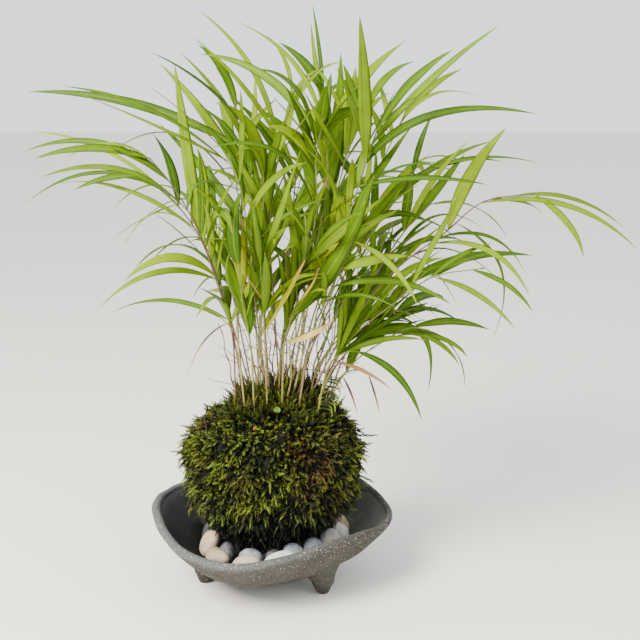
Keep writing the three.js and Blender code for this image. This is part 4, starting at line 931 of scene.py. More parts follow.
# The culms that the photograph shows. A row is a culm's foot on the ball, the places it runs through
# and its leaves, as the eye sees them, with the depth of each place. A leaf is its height, its middle
# and its tip as x and z, the tip's depth and its width.
STEMS = {
    "left_long": (
        (-12, -6),
        ((-20, 142, -6), (-29, 174, -9), (-40, 205, -12), (-52, 226, -14), (-64, 241, -16)),
        ((198, -45, 259, -49, 291, 24, 6.8), (211, -82, 235, -124, 230, -34, 5.5),
         (228, -92, 249, -132, 244, 28, 4), (240, -97, 246, -127, 240, -10, 5.1)),
    ),
    "left_behind": (
        (-10, 10),
        ((-20, 147, 14), (-30, 183, 20), (-44, 208, 25), (-58, 224, 29), (-72, 232, 32)),
        ((149, -58, 162, -89, 154, 30, 3.7), (202, -86, 226, -114, 227, 38, 3.5),
         (210, -88, 245, -129, 255, 40, 2.6), (215, -64, 210, -85, 197, 34, 2.9),
         (231, -104, 231, -132, 216, 20, 3.1)),
    ),
    "left_low": (
        (-18, -13),
        ((-20, 141, -16), (-24, 159, -25), (-30, 180, -36), (-38, 199, -45)),
        ((143, -24, 150, -34, 155, -46, 2.9), (149, -32, 143, -46, 119, -22, 1.3),
         (159, -29, 164, -38, 169, -52, 4), (173, -60, 178, -95, 157, -34, 4.2),
         (182, -46, 198, -61, 210, -60, 2.4), (197, -60, 211, -79, 193, -48, 2.6)),
    ),
    "left_upright": (
        (-12, -20),
        ((-17, 139, -24), (-17, 174, -25), (-12, 202, -30), (-14, 222, -33), (-21, 243, -36)),
        ((223, -33, 228, -40, 223, -58, 3.3), (235, -68, 269, -110, 279, -52, 3.3),
         (238, -62, 259, -98, 274, -26, 2.4), (242, -42, 263, -63, 279, -62, 2.6)),
    ),
    "left_tall": (
        (-6, 3),
        ((-11, 147, 6), (-8, 192, 9), (-8, 219, 11), (-14, 246, 14), (-17, 273, 17)),
        ((197, -31, 230, -58, 259, 62, 5.7), (218, -32, 262, -57, 291, 30, 6.2),
         (246, -72, 270, -129, 276, 36, 6.2), (271, -21, 281, -27, 289, 44, 2.9)),
    ),
    "middle_left": (
        (-7, -14),
        ((-4, 147, -18), (-2, 185, -20), (-2, 218, -23), (-1, 245, -26)),
        ((184, 4, 196, 3, 193, -60, 3.7), (218, -22, 269, -46, 297, -26, 5.1),
         (229, 12, 259, 16, 278, 48, 3.3), (243, -32, 279, -62, 297, -58, 3.1)),
    ),
    "middle": (
        (0, 4),
        ((-2, 157, 4), (0, 198, 4), (3, 225, 5), (8, 247, 6), (14, 273, 8)),
        ((196, 14, 207, 26, 211, -34, 4.4), (240, -8, 289, -36, 319, 20, 3.5),
         (247, -10, 276, -39, 305, -30, 2.9), (273, 10, 293, 0, 306, 40, 2.6)),
    ),
    "middle_front": (
        (2, -8),
        ((15, 162, -18), (22, 187, -23), (27, 211, -27), (27, 242, -32), (31, 262, -35)),
        ((209, 4, 245, -31, 246, -46, 4.4), (243, 14, 280, -5, 288, -42, 5.1),
         (249, 0, 284, -36, 296, 36, 5.1), (259, 16, 290, -16, 313, 14, 3.1)),
    ),
    "middle_back": (
        (8, 8),
        ((21, 162, 22), (28, 197, 26), (33, 229, 28), (32, 253, 30), (31, 274, 32)),
        ((215, 39, 265, 40, 297, 40, 8.1), (253, 54, 285, 75, 303, 34, 7.3),
         (265, 27, 289, 24, 313, 58, 3.3), (273, 21, 291, 7, 302, 44, 6.2), (273, 29, 295, 25, 322, 8, 2.4)),
    ),
    "right_upright": (
        (12, -3),
        ((22, 157, -6), (31, 192, -8), (39, 225, -9), (46, 250, -10), (54, 266, -11)),
        ((208, 78, 259, 147, 264, -32, 6.4), (237, 30, 259, 20, 277, -58, 4.4),
         (251, 33, 281, 24, 291, 54, 2.6), (265, 66, 285, 80, 292, 40, 4.4)),
    ),
    "right_tall": (
        (13, -15),
        ((25, 152, -22), (38, 189, -27), (48, 219, -31), (54, 239, -34), (60, 256, -37)),
        ((221, 70, 235, 93, 238, -56, 4.2), (225, 84, 230, 121, 226, -24, 4.4),
         (238, 53, 277, 50, 316, -34, 7), (247, 88, 282, 125, 311, -14, 4),
         (255, 77, 280, 100, 298, -48, 7.7)),
    ),
    "right_thin": (
        (17, 7),
        ((30, 152, 12), (44, 190, 17), (55, 218, 21), (65, 243, 25), (74, 263, 28)),
        ((219, 38, 243, 20, 259, 62, 5.5), (251, 64, 271, 60, 283, 48, 3.7),
         (257, 88, 274, 114, 274, 12, 3.3), (262, 88, 278, 105, 288, 40, 5.1)),
    ),
    "right_back": (
        (14, 17),
        ((32, 152, 32), (48, 187, 41), (66, 214, 50), (80, 231, 57)),
        ((193, 70, 227, 90, 243, 66, 5.5), (216, 98, 240, 124, 250, 52, 4.4),
         (229, 108, 240, 148, 238, 20, 4.4)),
    ),
    "right_arching": (
        (23, -6),
        ((46, 149, -12), (72, 180, -17), (98, 200, -21), (119, 217, -25), (146, 221, -28)),
        ((193, 124, 189, 146, 164, -28, 4), (197, 124, 197, 143, 177, 26, 2.4),
         (201, 112, 233, 130, 257, 40, 7.7), (205, 128, 183, 126, 140, 16, 2.6),
         (216, 170, 213, 205, 190, -22, 3.5), (218, 143, 216, 151, 210, 44, 2.4),
         (220, 166, 219, 197, 202, 24, 2.9), (221, 167, 203, 175, 186, -34, 4)),
    ),
    "right_second": (
        (22, 9),
        ((44, 152, 22), (60, 177, 30), (76, 201, 37), (90, 216, 43)),
        ((181, 92, 197, 112, 193, 60, 4.4), (203, 97, 229, 108, 243, 60, 5.5),
         (215, 112, 215, 132, 198, 36, 4)),
    ),
    "right_low_long": (
        (26, -14),
        ((44, 137, -20), (66, 157, -25), (92, 175, -30), (120, 180, -34)),
        ((175, 117, 165, 139, 145, -36, 3.3), (179, 138, 167, 148, 155, -20, 3.3)),
    ),
    "right_low": (
        (21, 1),
        ((32, 131, 4), (44, 144, 7), (57, 157, 9), (69, 166, 11)),
        ((147, 66, 156, 84, 149, 44, 4.4), (165, 106, 185, 147, 187, 14, 5.7)),
    ),
    "right_front": (
        (17, -20),
        ((24, 141, -32), (32, 161, -42), (40, 179, -51), (48, 197, -58)),
        ((161, 50, 165, 71, 158, -30, 2.9), (169, 74, 172, 103, 159, -18, 4.4),
         (195, 66, 184, 84, 158, -24, 3.3)),
    ),
    "right_short": (
        (29, 4),
        ((40, 127, 8), (52, 139, 12), (63, 148, 15), (73, 155, 18)),
        ((141, 62, 145, 74, 144, 40, 3.3), (147, 83, 145, 90, 108, 20, 4),
         (154, 90, 157, 109, 148, 38, 2.9)),
    ),
    "right_shortest": (
        (31, -7),
        ((48, 126, -9), (64, 138, -11), (79, 146, -13), (90, 145, -15)),
        ((146, 102, 137, 111, 112, 24, 4.4), (144, 104, 137, 112, 129, -30, 3.3)),
    ),
    "right_dry": (
        (27, -21),
        ((34, 124, -27), (41, 131, -31), (48, 133, -34)),
        ((127, 54, 121, 70, 110, -22, 2.6), (132, 68, 140, 89, 139, -20, 4.4),
         (133, 68, 123, 87, 92, -14, 4)),
    ),
    "dead": (
        (34, 2),
        ((42, 119, 2), (50, 122, 3), (56, 120, 4)),
        ((118.5, 47, 107, 50.5, 95, -26, 1.3), (130, 60, 108, 63, 96, 16, 1.2)),
    ),
    "front": (
        (8, -21),
        ((9, 137, -32), (12, 149, -39), (16, 161, -45)),
        ((138, 25, 143, 37, 151, -30, 5), (153, 38, 185, 54, 218, -24, 9),
         (159, 24, 170, 28, 180, -56, 3.3)),
    ),
    "front_second": (
        (6, -12),
        ((8, 142, -22), (15, 165, -30), (22, 186, -37)),
        ((171, 28, 187, 30, 203, 50, 4.4), (182, 36, 202, 52, 211, -56, 5.5)),
    ),
    "front_left": (
        (-7, -23),
        ((-10, 135, -36), (-14, 159, -47), (-16, 181, -57)),
        ((157, -22, 173, -21, 189, -52, 2.6), (180, -19, 202, -14, 223, -16, 7.7)),
    ),
    "front_middle": (
        (0, -21),
        ((-2, 139, -35), (-3, 162, -45), (-4, 183, -54)),
        ((144, 9, 163, 21, 185, -30, 6.8), (161, -10, 173, -22, 187, -24, 2.4),
         (181, -6, 201, -8, 217, -22, 5.7)),
    ),
}
# The culms on the side that the photograph does not show: foot, top, how many leaves and the seed of
# their draws. They bow up by a share of their length, and bear leaves from a share of it upwards.
HIDDEN_BOW = 0.07
HIDDEN_LOWEST = 0.46
HIDDEN_STEMS = {
    "back_left": ((-10, 20), (-34, 66, 190), 5, 3),
    "back_left_high": ((-2, 13), (-22, 50, 232), 5, 8),
    "back_middle": ((5, 22), (-4, 80, 206), 5, 14),
    "back_middle_high": ((6, 15), (16, 54, 240), 5, 23),
    "back_right": ((22, 21), (62, 80, 190), 5, 31),
    "back_right_high": ((12, 25), (38, 84, 226), 5, 37),
    "back_low": ((-3, 26), (-14, 72, 149), 5, 45),
    "back_low_right": ((28, 15), (66, 60, 157), 5, 52),
}

# Leaves that have turned: how far from green, through yellow and cream, to brown straw.
FADED = {
    ("front", 0): 0.66,
    ("front", 2): 0.5,
    ("front_middle", 0): 0.3,
    ("front_middle", 1): 0.85,
    ("right_dry", 0): 0.9,
    ("right_dry", 1): 0.14,
    ("right_short", 0): 0.4,
    ("dead", 0): 1,
    ("dead", 1): 1,
    ("left_low", 1): 1,
    ("left_low", 0): 0.45,
}


def curve_at(knots, share):
    """Places along a centripetal Catmull-Rom curve: a cubic between each two knots whose slopes
    weigh the chords beside them by the square roots of their lengths."""
    ends = 2 * knots[[0, -1]] - knots[[1, -2]]
    knots = np.concatenate([ends[:1], knots, ends[1:]])
    place = np.asarray(share) * (len(knots) - 3)
    part = np.minimum(place.astype(int), len(knots) - 4)
    weight = (place - part)[:, None]
    p0, p1, p2, p3 = (knots[part + k] for k in range(4))
    chords = (p1 - p0, p2 - p1, p3 - p2)
    gap0, gap1, gap2 = (np.sqrt(np.linalg.norm(chord, axis=1))[:, None] for chord in chords)
    slope1 = ((p1 - p0) / gap0 - (p2 - p0) / (gap0 + gap1) + (p2 - p1) / gap1) * gap1
    slope2 = ((p2 - p1) / gap1 - (p3 - p1) / (gap1 + gap2) + (p3 - p2) / gap2) * gap1
    square = 3 * (p2 - p1) - 2 * slope1 - slope2
    cube = 2 * (p1 - p2) + slope1 + slope2
    return p1 + slope1 * weight + square * weight**2 + cube * weight**3


def stem_knots(foot, way):
    """The knots of a culm's curve, from its collar on the moss, and the end of its root."""
    collar = np.array([*foot, crown_height(*foot) + COLLAR_HEIGHT])
    lean = unit(way[0] - collar)
    down = unit(lean + (np.array([0, 0, 1]) - lean) * LEAN_UPRIGHT)
    return np.array([collar, *way]), collar - ROOT_DEPTH * down


def culm(knots, root, foot_radius, top_radius, tone, sides=CULM_SIDES, rings=CULM_RINGS):
    """One culm: a tube whose radius falls evenly from foot to top, plus a bell at each joint."""
    line = np.concatenate([[root], curve_at(knots, np.linspace(0, 1, rings - 1))])
    run = np.append(0, np.cumsum(np.linalg.norm(np.diff(line, axis=0), axis=1)))
    joints = ROOT_DEPTH + JOINTS + JOINT_SHIFT * tone
    ring = np.exp(-(((run[:, None] - joints) / JOINT_REACH) ** 2)).max(1)
    radius = foot_radius + (top_radius - foot_radius) * run / run[-1] + JOINT_SWELL * ring
    angle = np.arange(sides) / sides
    round_way = 1 - np.abs(2 * angle - 1)
    uv = np.stack(np.meshgrid(round_way, run / 10), -1).reshape(-1, 2)
    spread = {"rise": run / run[-1], "joint": ring}
    values = {key: np.append(np.repeat(value, sides), value[[0, -1]]) for key, value in spread.items()}
    points = tube(line, radius, sides)
    uv = np.concatenate([uv, uv[[0, -1]]])
    return shell(points[None], lathe_faces(rings, sides), 1, uv, tone=tone, **values)


def blade_width(step):
    """A blade's width along it: nearly none at the foot, full at a third, and down to a fine point."""
    return 0.12 * (1 - step) ** 2 + 1.85 * (1 - (1 - step) ** 3) * (1 - step) ** 0.8


def blades(foot, middle, tip, width, face, twist, tone, dry, rings=BLADE_RINGS):
    """Leaf blades, all at once: each follows the parabola through its foot, middle and tip, and its
    section is a thin shallow V that turns a little about the curve towards the tip."""
    first = np.linalg.norm(middle - foot, axis=1)
    share = np.clip(first / (first + np.linalg.norm(tip - middle, axis=1)), 0.3, 0.7)[:, None]
    bend = (middle - (1 - share) ** 2 * foot - share**2 * tip) / (2 * share * (1 - share))
    step = np.linspace(*BLADE_ENDS, rings)[:, None]
    foot, tip, bend = foot[:, None], tip[:, None], bend[:, None]
    centre = (1 - step) ** 2 * foot + 2 * step * (1 - step) * bend + step**2 * tip
    along = unit((1 - step) * (bend - foot) + step * (tip - bend))
    flat = unit(np.cross(tip - foot, face[:, None]))
    across = unit(flat - (flat * along).sum(-1, keepdims=True) * along)
    over = np.cross(across, along)
    turn = twist[:, None, None] * step**1.5
    across, over = np.cos(turn) * across + np.sin(turn) * over, np.cos(turn) * over - np.sin(turn) * across
    half = width[:, None, None] * blade_width(step) / 2
    side, below = BLADE_SIDE, BLADE_UNDER
    valley = np.minimum(0.17 * half, BLADE_FOLD) * (1 - np.abs(side)) ** 1.2
    wave = 0.05 * half * np.sin(14 * step + 5 * tone[:, None, None]) * side**2
    thick = below * np.minimum(0.1 + 0.06 * half, BLADE_THICK) * (1.6 - np.abs(side))
    points = centre[..., None, :] + (half * side)[..., None] * across[..., None, :]
    points = points + (wave - valley - thick)[..., None] * over[..., None, :]
    many = len(points)
    points = np.concatenate([points.reshape(many, -1, 3), foot, tip], 1)
    level = np.ones((rings, 1))
    values = {
        "along": np.append((step * np.ones(len(side))).ravel(), [0, 1]),
        "under": np.append((level * below).ravel(), [0, 0]),
    }
    uv = np.stack([np.append((level * (side + 1) / 2).ravel(), [0.5, 0.5]), values["along"]], -1)
    uv = np.broadcast_to(uv, (many, *uv.shape))
    faces = lathe_faces(rings, len(side))
    return shell(points, faces, 0, uv, tone=tone[:, None], dry=dry[:, None], **values)


def blade_face(turned):
    """The way that a blade's upper face looks: from upwards, 0, to mostly at the viewer, 1."""
    return (1 - turned) * np.array([0, 0.15, 1]) + turned * np.array([0, -1, 0.25])


def seen_leaf(knots, row, turned):
    """The foot, face and width of a leaf, and its middle and tip for every nudge in depth."""
    height, middle_x, middle_z, tip_x, tip_z, depth, width = row
    line = curve_at(knots, np.arange(201) / 200)
    apparent = EYE[2] + (line[:, 2] - EYE[2]) / ((line[:, 1] - EYE[1]) / -EYE[1])
    foot = line[np.argmax(apparent >= height)] if (apparent >= height).any() else line[-1]
    middles = [seen(middle_x, middle_z, foot[1] + (depth + nudge) / 2) for nudge in NUDGES]
    tips = [seen(tip_x, tip_z, foot[1] + depth + nudge) for nudge in NUDGES]
    return foot, blade_face(turned), width, np.array(middles), np.array(tips)


def hidden_leaf(knots, side, share, heading, draws):
    """The same for a leaf of a hidden culm, which springs from one side, rises and bends over: its
    length, swing, rise, fall and width are drawn, and rise and fall grow with its place on the culm."""
    foot = curve_at(knots, np.array([share]))[0]
    length = 68 + 34 * next(draws)
    swing = math.radians(16 if share > 0.97 else 26 + 24 * next(draws))
    rise = 0.16 + 0.2 * share + 0.1 * next(draws)
    fall = -0.34 + 0.62 * share + 0.16 * next(draws)
    width = 3.4 + 3.6 * next(draws)
    angle = heading + side * swing + np.array(NUDGES) * TURN_PER_NUDGE
    out = np.stack([np.cos(angle), np.sin(angle), 0 * angle], -1)
    middles = foot + 0.44 * length * out + [0, 0, rise * length]
    tips = foot + 0.82 * length * out + [0, 0, fall * length]
    return foot, out * 0.35 + [0, 0, 1], width, middles, tips


def settle(name, leaves):
    """The place of each leaf that its solid was nudged to: the tip nearest to a corner of the solid."""
    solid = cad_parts["stem_" + name].data
    corners = np.zeros(3 * len(solid.vertices), np.float32)
    solid.vertices.foreach_get("co", corners)
    corners = corners.reshape(-1, 3)
    kept = []
    for foot, face, width, middles, tips in leaves:
        away = np.linalg.norm(placed(tips)[:, None] - corners, axis=-1).min(1)
        best = int(np.argmin(away))
        face = face if face.ndim == 1 else face[best]
        kept.append((foot, middles[best], tips[best], width, face))
    return [np.array(column) for column in zip(*kept)]


def stem_of(name, knots, root, leaves, draw):
    """One culm with its leaves, which stands for its solid."""
    foot, middle, tip, width, face = settle(name, leaves)
    grown_leaves.append(np.concatenate([middle, (middle + tip) / 2, tip]))
    count = len(width)
    tone = draw.random(count)
    dry = np.array([FADED.get((name, i), 0) for i in range(count)], float)
    dry = np.maximum(dry, np.clip(draw.normal(-0.05, 0.07, count), 0, 0.2))
    twist = draw.uniform(-0.6, 0.6, count)
    grown = blades(foot, middle, tip, width, face, twist, tone, dry)
    stalk = culm(knots, root, CULM_FOOT, CULM_TOP, draw.random())
    piece("grass_" + name, [grown, stalk], [BLADE, CULM], "leaf", ["stem_" + name])


def glowing(material, share, colour):
    """The same finish with this share of the light let through it, tinted."""
    through = add(material, "BsdfTranslucent", {"Color": colour})
    nodes = material.node_tree.nodes
    both = add(material, "MixShader", {0: share, 1: nodes["Principled BSDF"], 2: through})
    plug(nodes["Material Output"], {"Surface": both})
    return material


# A living grass blade: thin, ribbed lengthwise, satin above and paler below, lit through by the
# light behind it. It fades from green through yellow and cream to brown straw as it dies.
def blade_finish():
    leaf = new_material("grass_blade_living")
    flat = add(leaf, "UVMap", uv_map="UVMap").outputs["UV"]
    place = add(leaf, "TexCoord").outputs["Object"]
    keys = ("tone", "dry", "along", "under")
    tone, dry, along, under = (add(leaf, "Attribute", attribute_name=key).outputs["Fac"] for key in keys)
    green = add(leaf, "ValToRGB", {"Fac": tone}, stops=[(0.0, "#3a5e02"), (1.0, "#8aa208"), (0.5, "#638304")])
    # Ribs: real ones lie 0.4 mm apart; drawn nine across the blade, so that they show.
    waves = add(leaf, "TexWave", {"Vector": flat, "Scale": 2.8, "Distortion": 0.0}, bands_direction="X")
    ribs = waves.outputs["Fac"]
    cloud = add(leaf, "TexNoise", {"Vector": place, "Scale": 110, "Detail": 3})
    vary = add(leaf, "MapRange", {"Value": cloud, 1: 0.3, 2: 0.7, 3: 0.86, 4: 1.14})
    lines = add(leaf, "MapRange", {"Value": ribs, 3: 0.9, 4: 1.06})
    both = add(leaf, "Math", {0: vary, 1: lines}, operation="MULTIPLY")
    # The midrib, a paler line a tenth of the width across.
    across = add(leaf, "SeparateXYZ", {"Vector": flat})
    off = add(leaf, "Math", {0: across, 1: 0.5, 2: 0.05}, operation="COMPARE")
    rib = add(leaf, "Math", {0: off, 1: 0.4}, operation="MULTIPLY")
    live = add(leaf, "VectorMath", {0: green, 1: both}, operation="MULTIPLY")
    # The pale collar where the blade leaves its sheath.
    collar = add(leaf, "MapRange", {"Value": along, 1: 0.0, 2: 0.07, 3: 0.8, 4: 0.0})
    back = add(leaf, "Math", {0: under, 1: 0.35}, operation="MULTIPLY")
    for share, tint in ((rib, "#8ea62c"), (collar, "#9dae3c"), (back, "#7f9a1f")):
        live = add(leaf, "Mix", {0: share, 6: live, 7: tint}, data_type="RGBA")
    # Tips scorch brown over their last few millimetres, more so on a fading blade.
    fading = add(leaf, "Math", {0: dry, 1: cloud}, operation="MULTIPLY")
    reach = add(leaf, "Math", {0: along, 1: fading}, operation="ADD")
    scorch = add(leaf, "MapRange", {"Value": reach, 1: 0.955, 2: 1.0, 3: 0.0, 4: 0.8})
    stops = [(0.2, "#93a41c"), (1.0, "#7a6650"), (0.4, "#b3a02a"), (0.66, "#cdbd70"), (0.85, "#b98c4e")]
    faded = add(leaf, "ValToRGB", {"Fac": dry}, stops)
    fibre = add(leaf, "VectorMath", {0: faded, 1: both}, operation="MULTIPLY")
    turned = add(leaf, "MapRange", {"Value": dry, 1: 0.1, 2: 0.32})
    mixed = add(leaf, "Mix", {0: turned, 6: live, 7: fibre}, data_type="RGBA")
    colour = add(leaf, "Mix", {0: scorch, 6: mixed, 7: "#a5824e"}, data_type="RGBA")
    rough = add(leaf, "MapRange", {"Value": dry, 3: 0.48, 4: 0.75})
    # The ribs run together and flatten towards the tip.
    flatten = add(leaf, "MapRange", {"Value": along, 1: 0.35, 2: 0.75, 3: 1.0, 4: 0.0})
    relief = add(leaf, "Math", {0: ribs, 1: flatten}, operation="MULTIPLY")
    finish_of(leaf, colour, rough, relief, 0.00005, Specular_IOR_Level=0.15)
    glow = add(leaf, "HueSaturation", {"Color": colour, "Saturation": 1.2, "Value": 1.25})
    return glowing(leaf, 0.38, glow)


# A grass culm: hard and glossy like fine bamboo, fibrous along its length, ringed dark at its joints.
def culm_finish():
    stalk = new_material("grass_culm")
    flat = add(stalk, "UVMap", uv_map="UVMap").outputs["UV"]
    keys = ("rise", "joint", "tone")
    rise, joint, tone = (add(stalk, "Attribute", attribute_name=key).outputs["Fac"] for key in keys)
    # Fibres 7 mm long, two dozen round the culm.
    long = add(stalk, "Mapping", {"Vector": flat, "Scale": (9, 1, 1)})
    fibre = add(stalk, "TexNoise", {"Vector": long, "Scale": 1.5, "Detail": 3})
    shifted = add(stalk, "Math", {0: fibre, 1: 0.5, 2: rise}, operation="MULTIPLY_ADD")
    purple, olive = (
        add(stalk, "ValToRGB", {"Fac": shifted}, stops)
        for stops in (
            [(0.3, "#a28c64"), (1.0, "#54412e"), (0.45, "#7b6240"), (0.62, "#583a2b")],
            [(0.25, "#b39f6e"), (1.0, "#64722a"), (0.5, "#82783c")],
        )
    )
    pick = add(stalk, "MapRange", {"Value": tone, 1: 0.45, 2: 0.6})
    skin = add(stalk, "Mix", {0: pick, 6: purple, 7: olive}, data_type="RGBA")
    ring = add(stalk, "MapRange", {"Value": joint, 1: 0.4, 2: 1.0, 3: 0.0, 4: 0.75})
    colour = add(stalk, "Mix", {0: ring, 6: skin, 7: "#4c3424"}, data_type="RGBA")
    rough = add(stalk, "MapRange", {"Value": fibre, 3: 0.38, 4: 0.6})
    return finish_of(stalk, colour, rough, fibre, 0.00005, IOR=1.45)


BLADE = blade_finish()
CULM = culm_finish()
draw = np.random.default_rng(77)
turned_draws = draws_from(7)
grown_stems, grown_leaves = [], []
for name, (foot, way, rows) in STEMS.items():
    knots, root = stem_knots(foot, [seen(*place) for place in way])
    leaves = [seen_leaf(knots, row, 0.4 + 0.4 * next(turned_draws)) for row in rows]
    stem_of(name, knots, root, leaves, draw)
    grown_stems.append(knots)
for name, (foot, top, count, seed) in HIDDEN_STEMS.items():
    start = np.array([*foot, crown_height(*foot)])
    middle = (start + top) / 2 + [0, 0, HIDDEN_BOW * np.linalg.norm(start - top)]
    knots, root = stem_knots(foot, [middle, np.array(top, float)])
    heading = math.atan2(top[1] - foot[1], top[0] - foot[0])
    draws = draws_from(seed)
    shares = [HIDDEN_LOWEST + (1 - HIDDEN_LOWEST) * i / (count - 1) for i in range(count)]
    leaves = [hidden_leaf(knots, 1 if i % 2 else -1, share, heading, draws) for i, share in enumerate(shares)]
    stem_of(name, knots, root, leaves, draw)
    grown_stems.append(knots)


# The rest of the clump: leaves inside it, and bare culms and dead side twigs at its foot, each grown
# on its culm or rooted in the moss. Their places are drawn, so that the clump is as close as the real
# one; they lie among the leaves that are laid out, and reach no farther.

# Leaves: how many are drawn and kept, their rings, shortest and longest, narrowest and widest, the
# share that has faded, and how near to a leaf that is laid out the middle and the tip have to lie.
FILL_DRAWN = 2500
FILL_LEAVES = 255
FILL_RINGS = 12
FILL_LENGTHS = (38, 78)
FILL_WIDTHS = (3.2, 6.8)
FILL_FADED = 0.05
NEAR_MIDDLE = 17
NEAR_TIP = 12
LOWEST_TIP = 128
# The close core of the clump: how far it reaches before and behind the axis, and its outline as the
# eye sees it, each row a height with its left edge and right edge.
CORE_DEPTH = 60
CORE = (
    (134, 0, 40),
    (150, -22, 75),
    (185, -30, 100),
    (215, -38, 115),
    (256, -46, 110),
    (275, -40, 90),
    (293, 0, 52),
)
# Culms: how many, shortest and tallest, the middle, half width and half depth of the patch that they
# stand on, the thinnest and thickest foot and the top's radius.
FILL_CULMS = 26
CULM_TALL = (40, 125)
CULM_PATCH = (7, 27, 19)
THIN_FOOT = (0.34, 0.52)
THIN_TOP = 0.24
# Twigs: how many, where on a culm they spring, shortest and longest, radius at foot and tip.
FILL_TWIGS = 70
TWIG_SHARES = (0.08, 0.42)
TWIG_LENGTHS = (8, 26)
TWIG_RADII = (0.26, 0.14)
TWIG_RINGS = 6
TWIG_SIDES = 5


def fill_leaves(draw):
    """Leaves that spring up and out from a place on a culm, bent over at the tip; of many drawn, the
    ones are kept that lie in the core, or within reach of a leaf that is laid out."""
    tries = FILL_DRAWN
    stem = draw.integers(len(grown_stems), size=tries)
    share = draw.uniform(0.3, 0.99, tries)
    foot, ahead = np.zeros((tries, 3)), np.zeros((tries, 3))
    for i, knots in enumerate(grown_stems):
        mine = stem == i
        foot[mine] = curve_at(knots, share[mine])
        ahead[mine] = curve_at(knots, np.minimum(share[mine] + 0.01, 1)) - curve_at(knots, share[mine] - 0.02)
    swing, azimuth = np.radians(draw.uniform(14, 46, tries)), draw.uniform(0, 2 * np.pi, tries)
    ahead = unit(ahead)
    side = unit(np.cross(ahead, [0, 1.0, 0]))
    spoke = np.cos(azimuth)[:, None] * side + np.sin(azimuth)[:, None] * np.cross(ahead, side)
    way = np.cos(swing)[:, None] * ahead + np.sin(swing)[:, None] * spoke
    length = draw.uniform(*FILL_LENGTHS, tries)[:, None]
    fall = draw.uniform(0, 0.34, tries)[:, None] * [0, 0, 1]
    middle = foot + length * (0.5 * way + 0.02)
    tip = foot + length * (0.95 * way - fall)
    laid = np.concatenate(grown_leaves)
    near = [np.linalg.norm(place[:, None] - laid, axis=-1).min(1) for place in (middle, tip)]
    near = (near[0] < NEAR_MIDDLE) & (near[1] < NEAR_TIP) & (tip[:, 2] > LOWEST_TIP)
    core = np.abs(tip[:, 1]) < CORE_DEPTH
    levels, lefts, rights = np.transpose(CORE)
    for place in (middle, tip):
        x, z = (EYE[[0, 2]] + (place[:, [0, 2]] - EYE[[0, 2]]) * -EYE[1] / (place[:, 1:2] - EYE[1])).T
        core &= (x > np.interp(z, levels, lefts)) & (x < np.interp(z, levels, rights))
        core &= (z > levels[0]) & (z < levels[-1])
    kept = np.flatnonzero(near | core)[:FILL_LEAVES]
    turned = draw.uniform(0.1, 0.9, (len(kept), 1))
    width = draw.uniform(*FILL_WIDTHS, len(kept))
    dry = np.where(draw.random(len(kept)) < FILL_FADED, draw.uniform(0.1, 0.3, len(kept)), 0)
    twist, tone = draw.uniform(-0.7, 0.7, len(kept)), draw.random(len(kept))
    face = blade_face(turned)
    return blades(foot[kept], middle[kept], tip[kept], width, face, twist, tone, dry, FILL_RINGS)


def fill_culms(draw):
    """Thin bare culms from the crown: each leans outwards and bends to and fro at its joints."""
    middle, wide, deep = CULM_PATCH
    made = []
    for _ in range(FILL_CULMS):
        angle, out = draw.uniform(0, 2 * np.pi), math.sqrt(draw.random())
        x, y = middle + wide * out * math.cos(angle), deep * out * math.sin(angle)
        start = np.array([x, y, crown_height(x, y)])
        lean = unit(np.array([max(x - 6, -9) / 95, y / 95, 1]) + [*draw.normal(0, 0.11, 2), 0])
        tall = draw.uniform(*CULM_TALL)
        rise = np.arange(1, 7) / 6
        zigzag = np.where(np.arange(6) % 2, 1, -1)[:, None] * draw.normal(0, 1, 3)
        way = start + tall * rise[:, None] * lean + zigzag
        way = way + (tall * 0.12 * rise**2)[:, None] * lean * [1, 1, 0]
        knots, root = stem_knots((x, y), way)
        made.append(culm(knots, root, draw.uniform(*THIN_FOOT), THIN_TOP, draw.random(), sides=6, rings=40))
        fill_stems.append(knots)
    return made


def fill_twigs(draw):
    """Dead side twigs: thin tubes straight out from the lower half of a culm, crooked by chance."""
    made = []
    stems = fill_stems + grown_stems
    radius = np.linspace(*TWIG_RADII, TWIG_RINGS)
    for _ in range(FILL_TWIGS):
        knots = stems[draw.integers(len(stems))]
        foot = curve_at(knots, np.array([draw.uniform(*TWIG_SHARES)]))[0]
        way = unit(np.array([draw.normal(0, 1), draw.normal(0, 0.6), draw.uniform(0.2, 1.3)]))
        length = draw.uniform(*TWIG_LENGTHS)
        rise = np.linspace(0, 1, TWIG_RINGS)[:, None]
        line = foot + length * rise * way + draw.normal(0, 0.5, (TWIG_RINGS, 3)) * rise
        values = {"rise": 0.5, "joint": 0.0, "tone": draw.uniform(0, 0.4)}
        points = tube(line, radius, TWIG_SIDES)[None]
        uv = np.zeros((*points.shape[:2], 2))
        made.append(shell(points, lathe_faces(TWIG_RINGS, TWIG_SIDES), 1, uv, **values))
    return made


draw = np.random.default_rng(208)
fill_stems = []
piece("grass_more_leaves", [fill_leaves(draw)], [BLADE], "leaf")
piece("grass_more_culms", [*fill_culms(draw), *fill_twigs(draw)], [BLADE, CULM], "leaf")


# The seedling: a wild one that came up in the moss, soft, with three notched round leaflets no bigger
# than a lentil on a thread of a stalk. It stands in its hole in the moss.
SEEDLING_X = 5.5
SEEDLING_Y = -25
SEEDLING_TALL = 8
SEEDLING_SUNK = 3
SEEDLING_LEAN = -0.6
STALK_RADIUS = 0.35
STALK_RINGS = 8
STALK_SIDES = 8
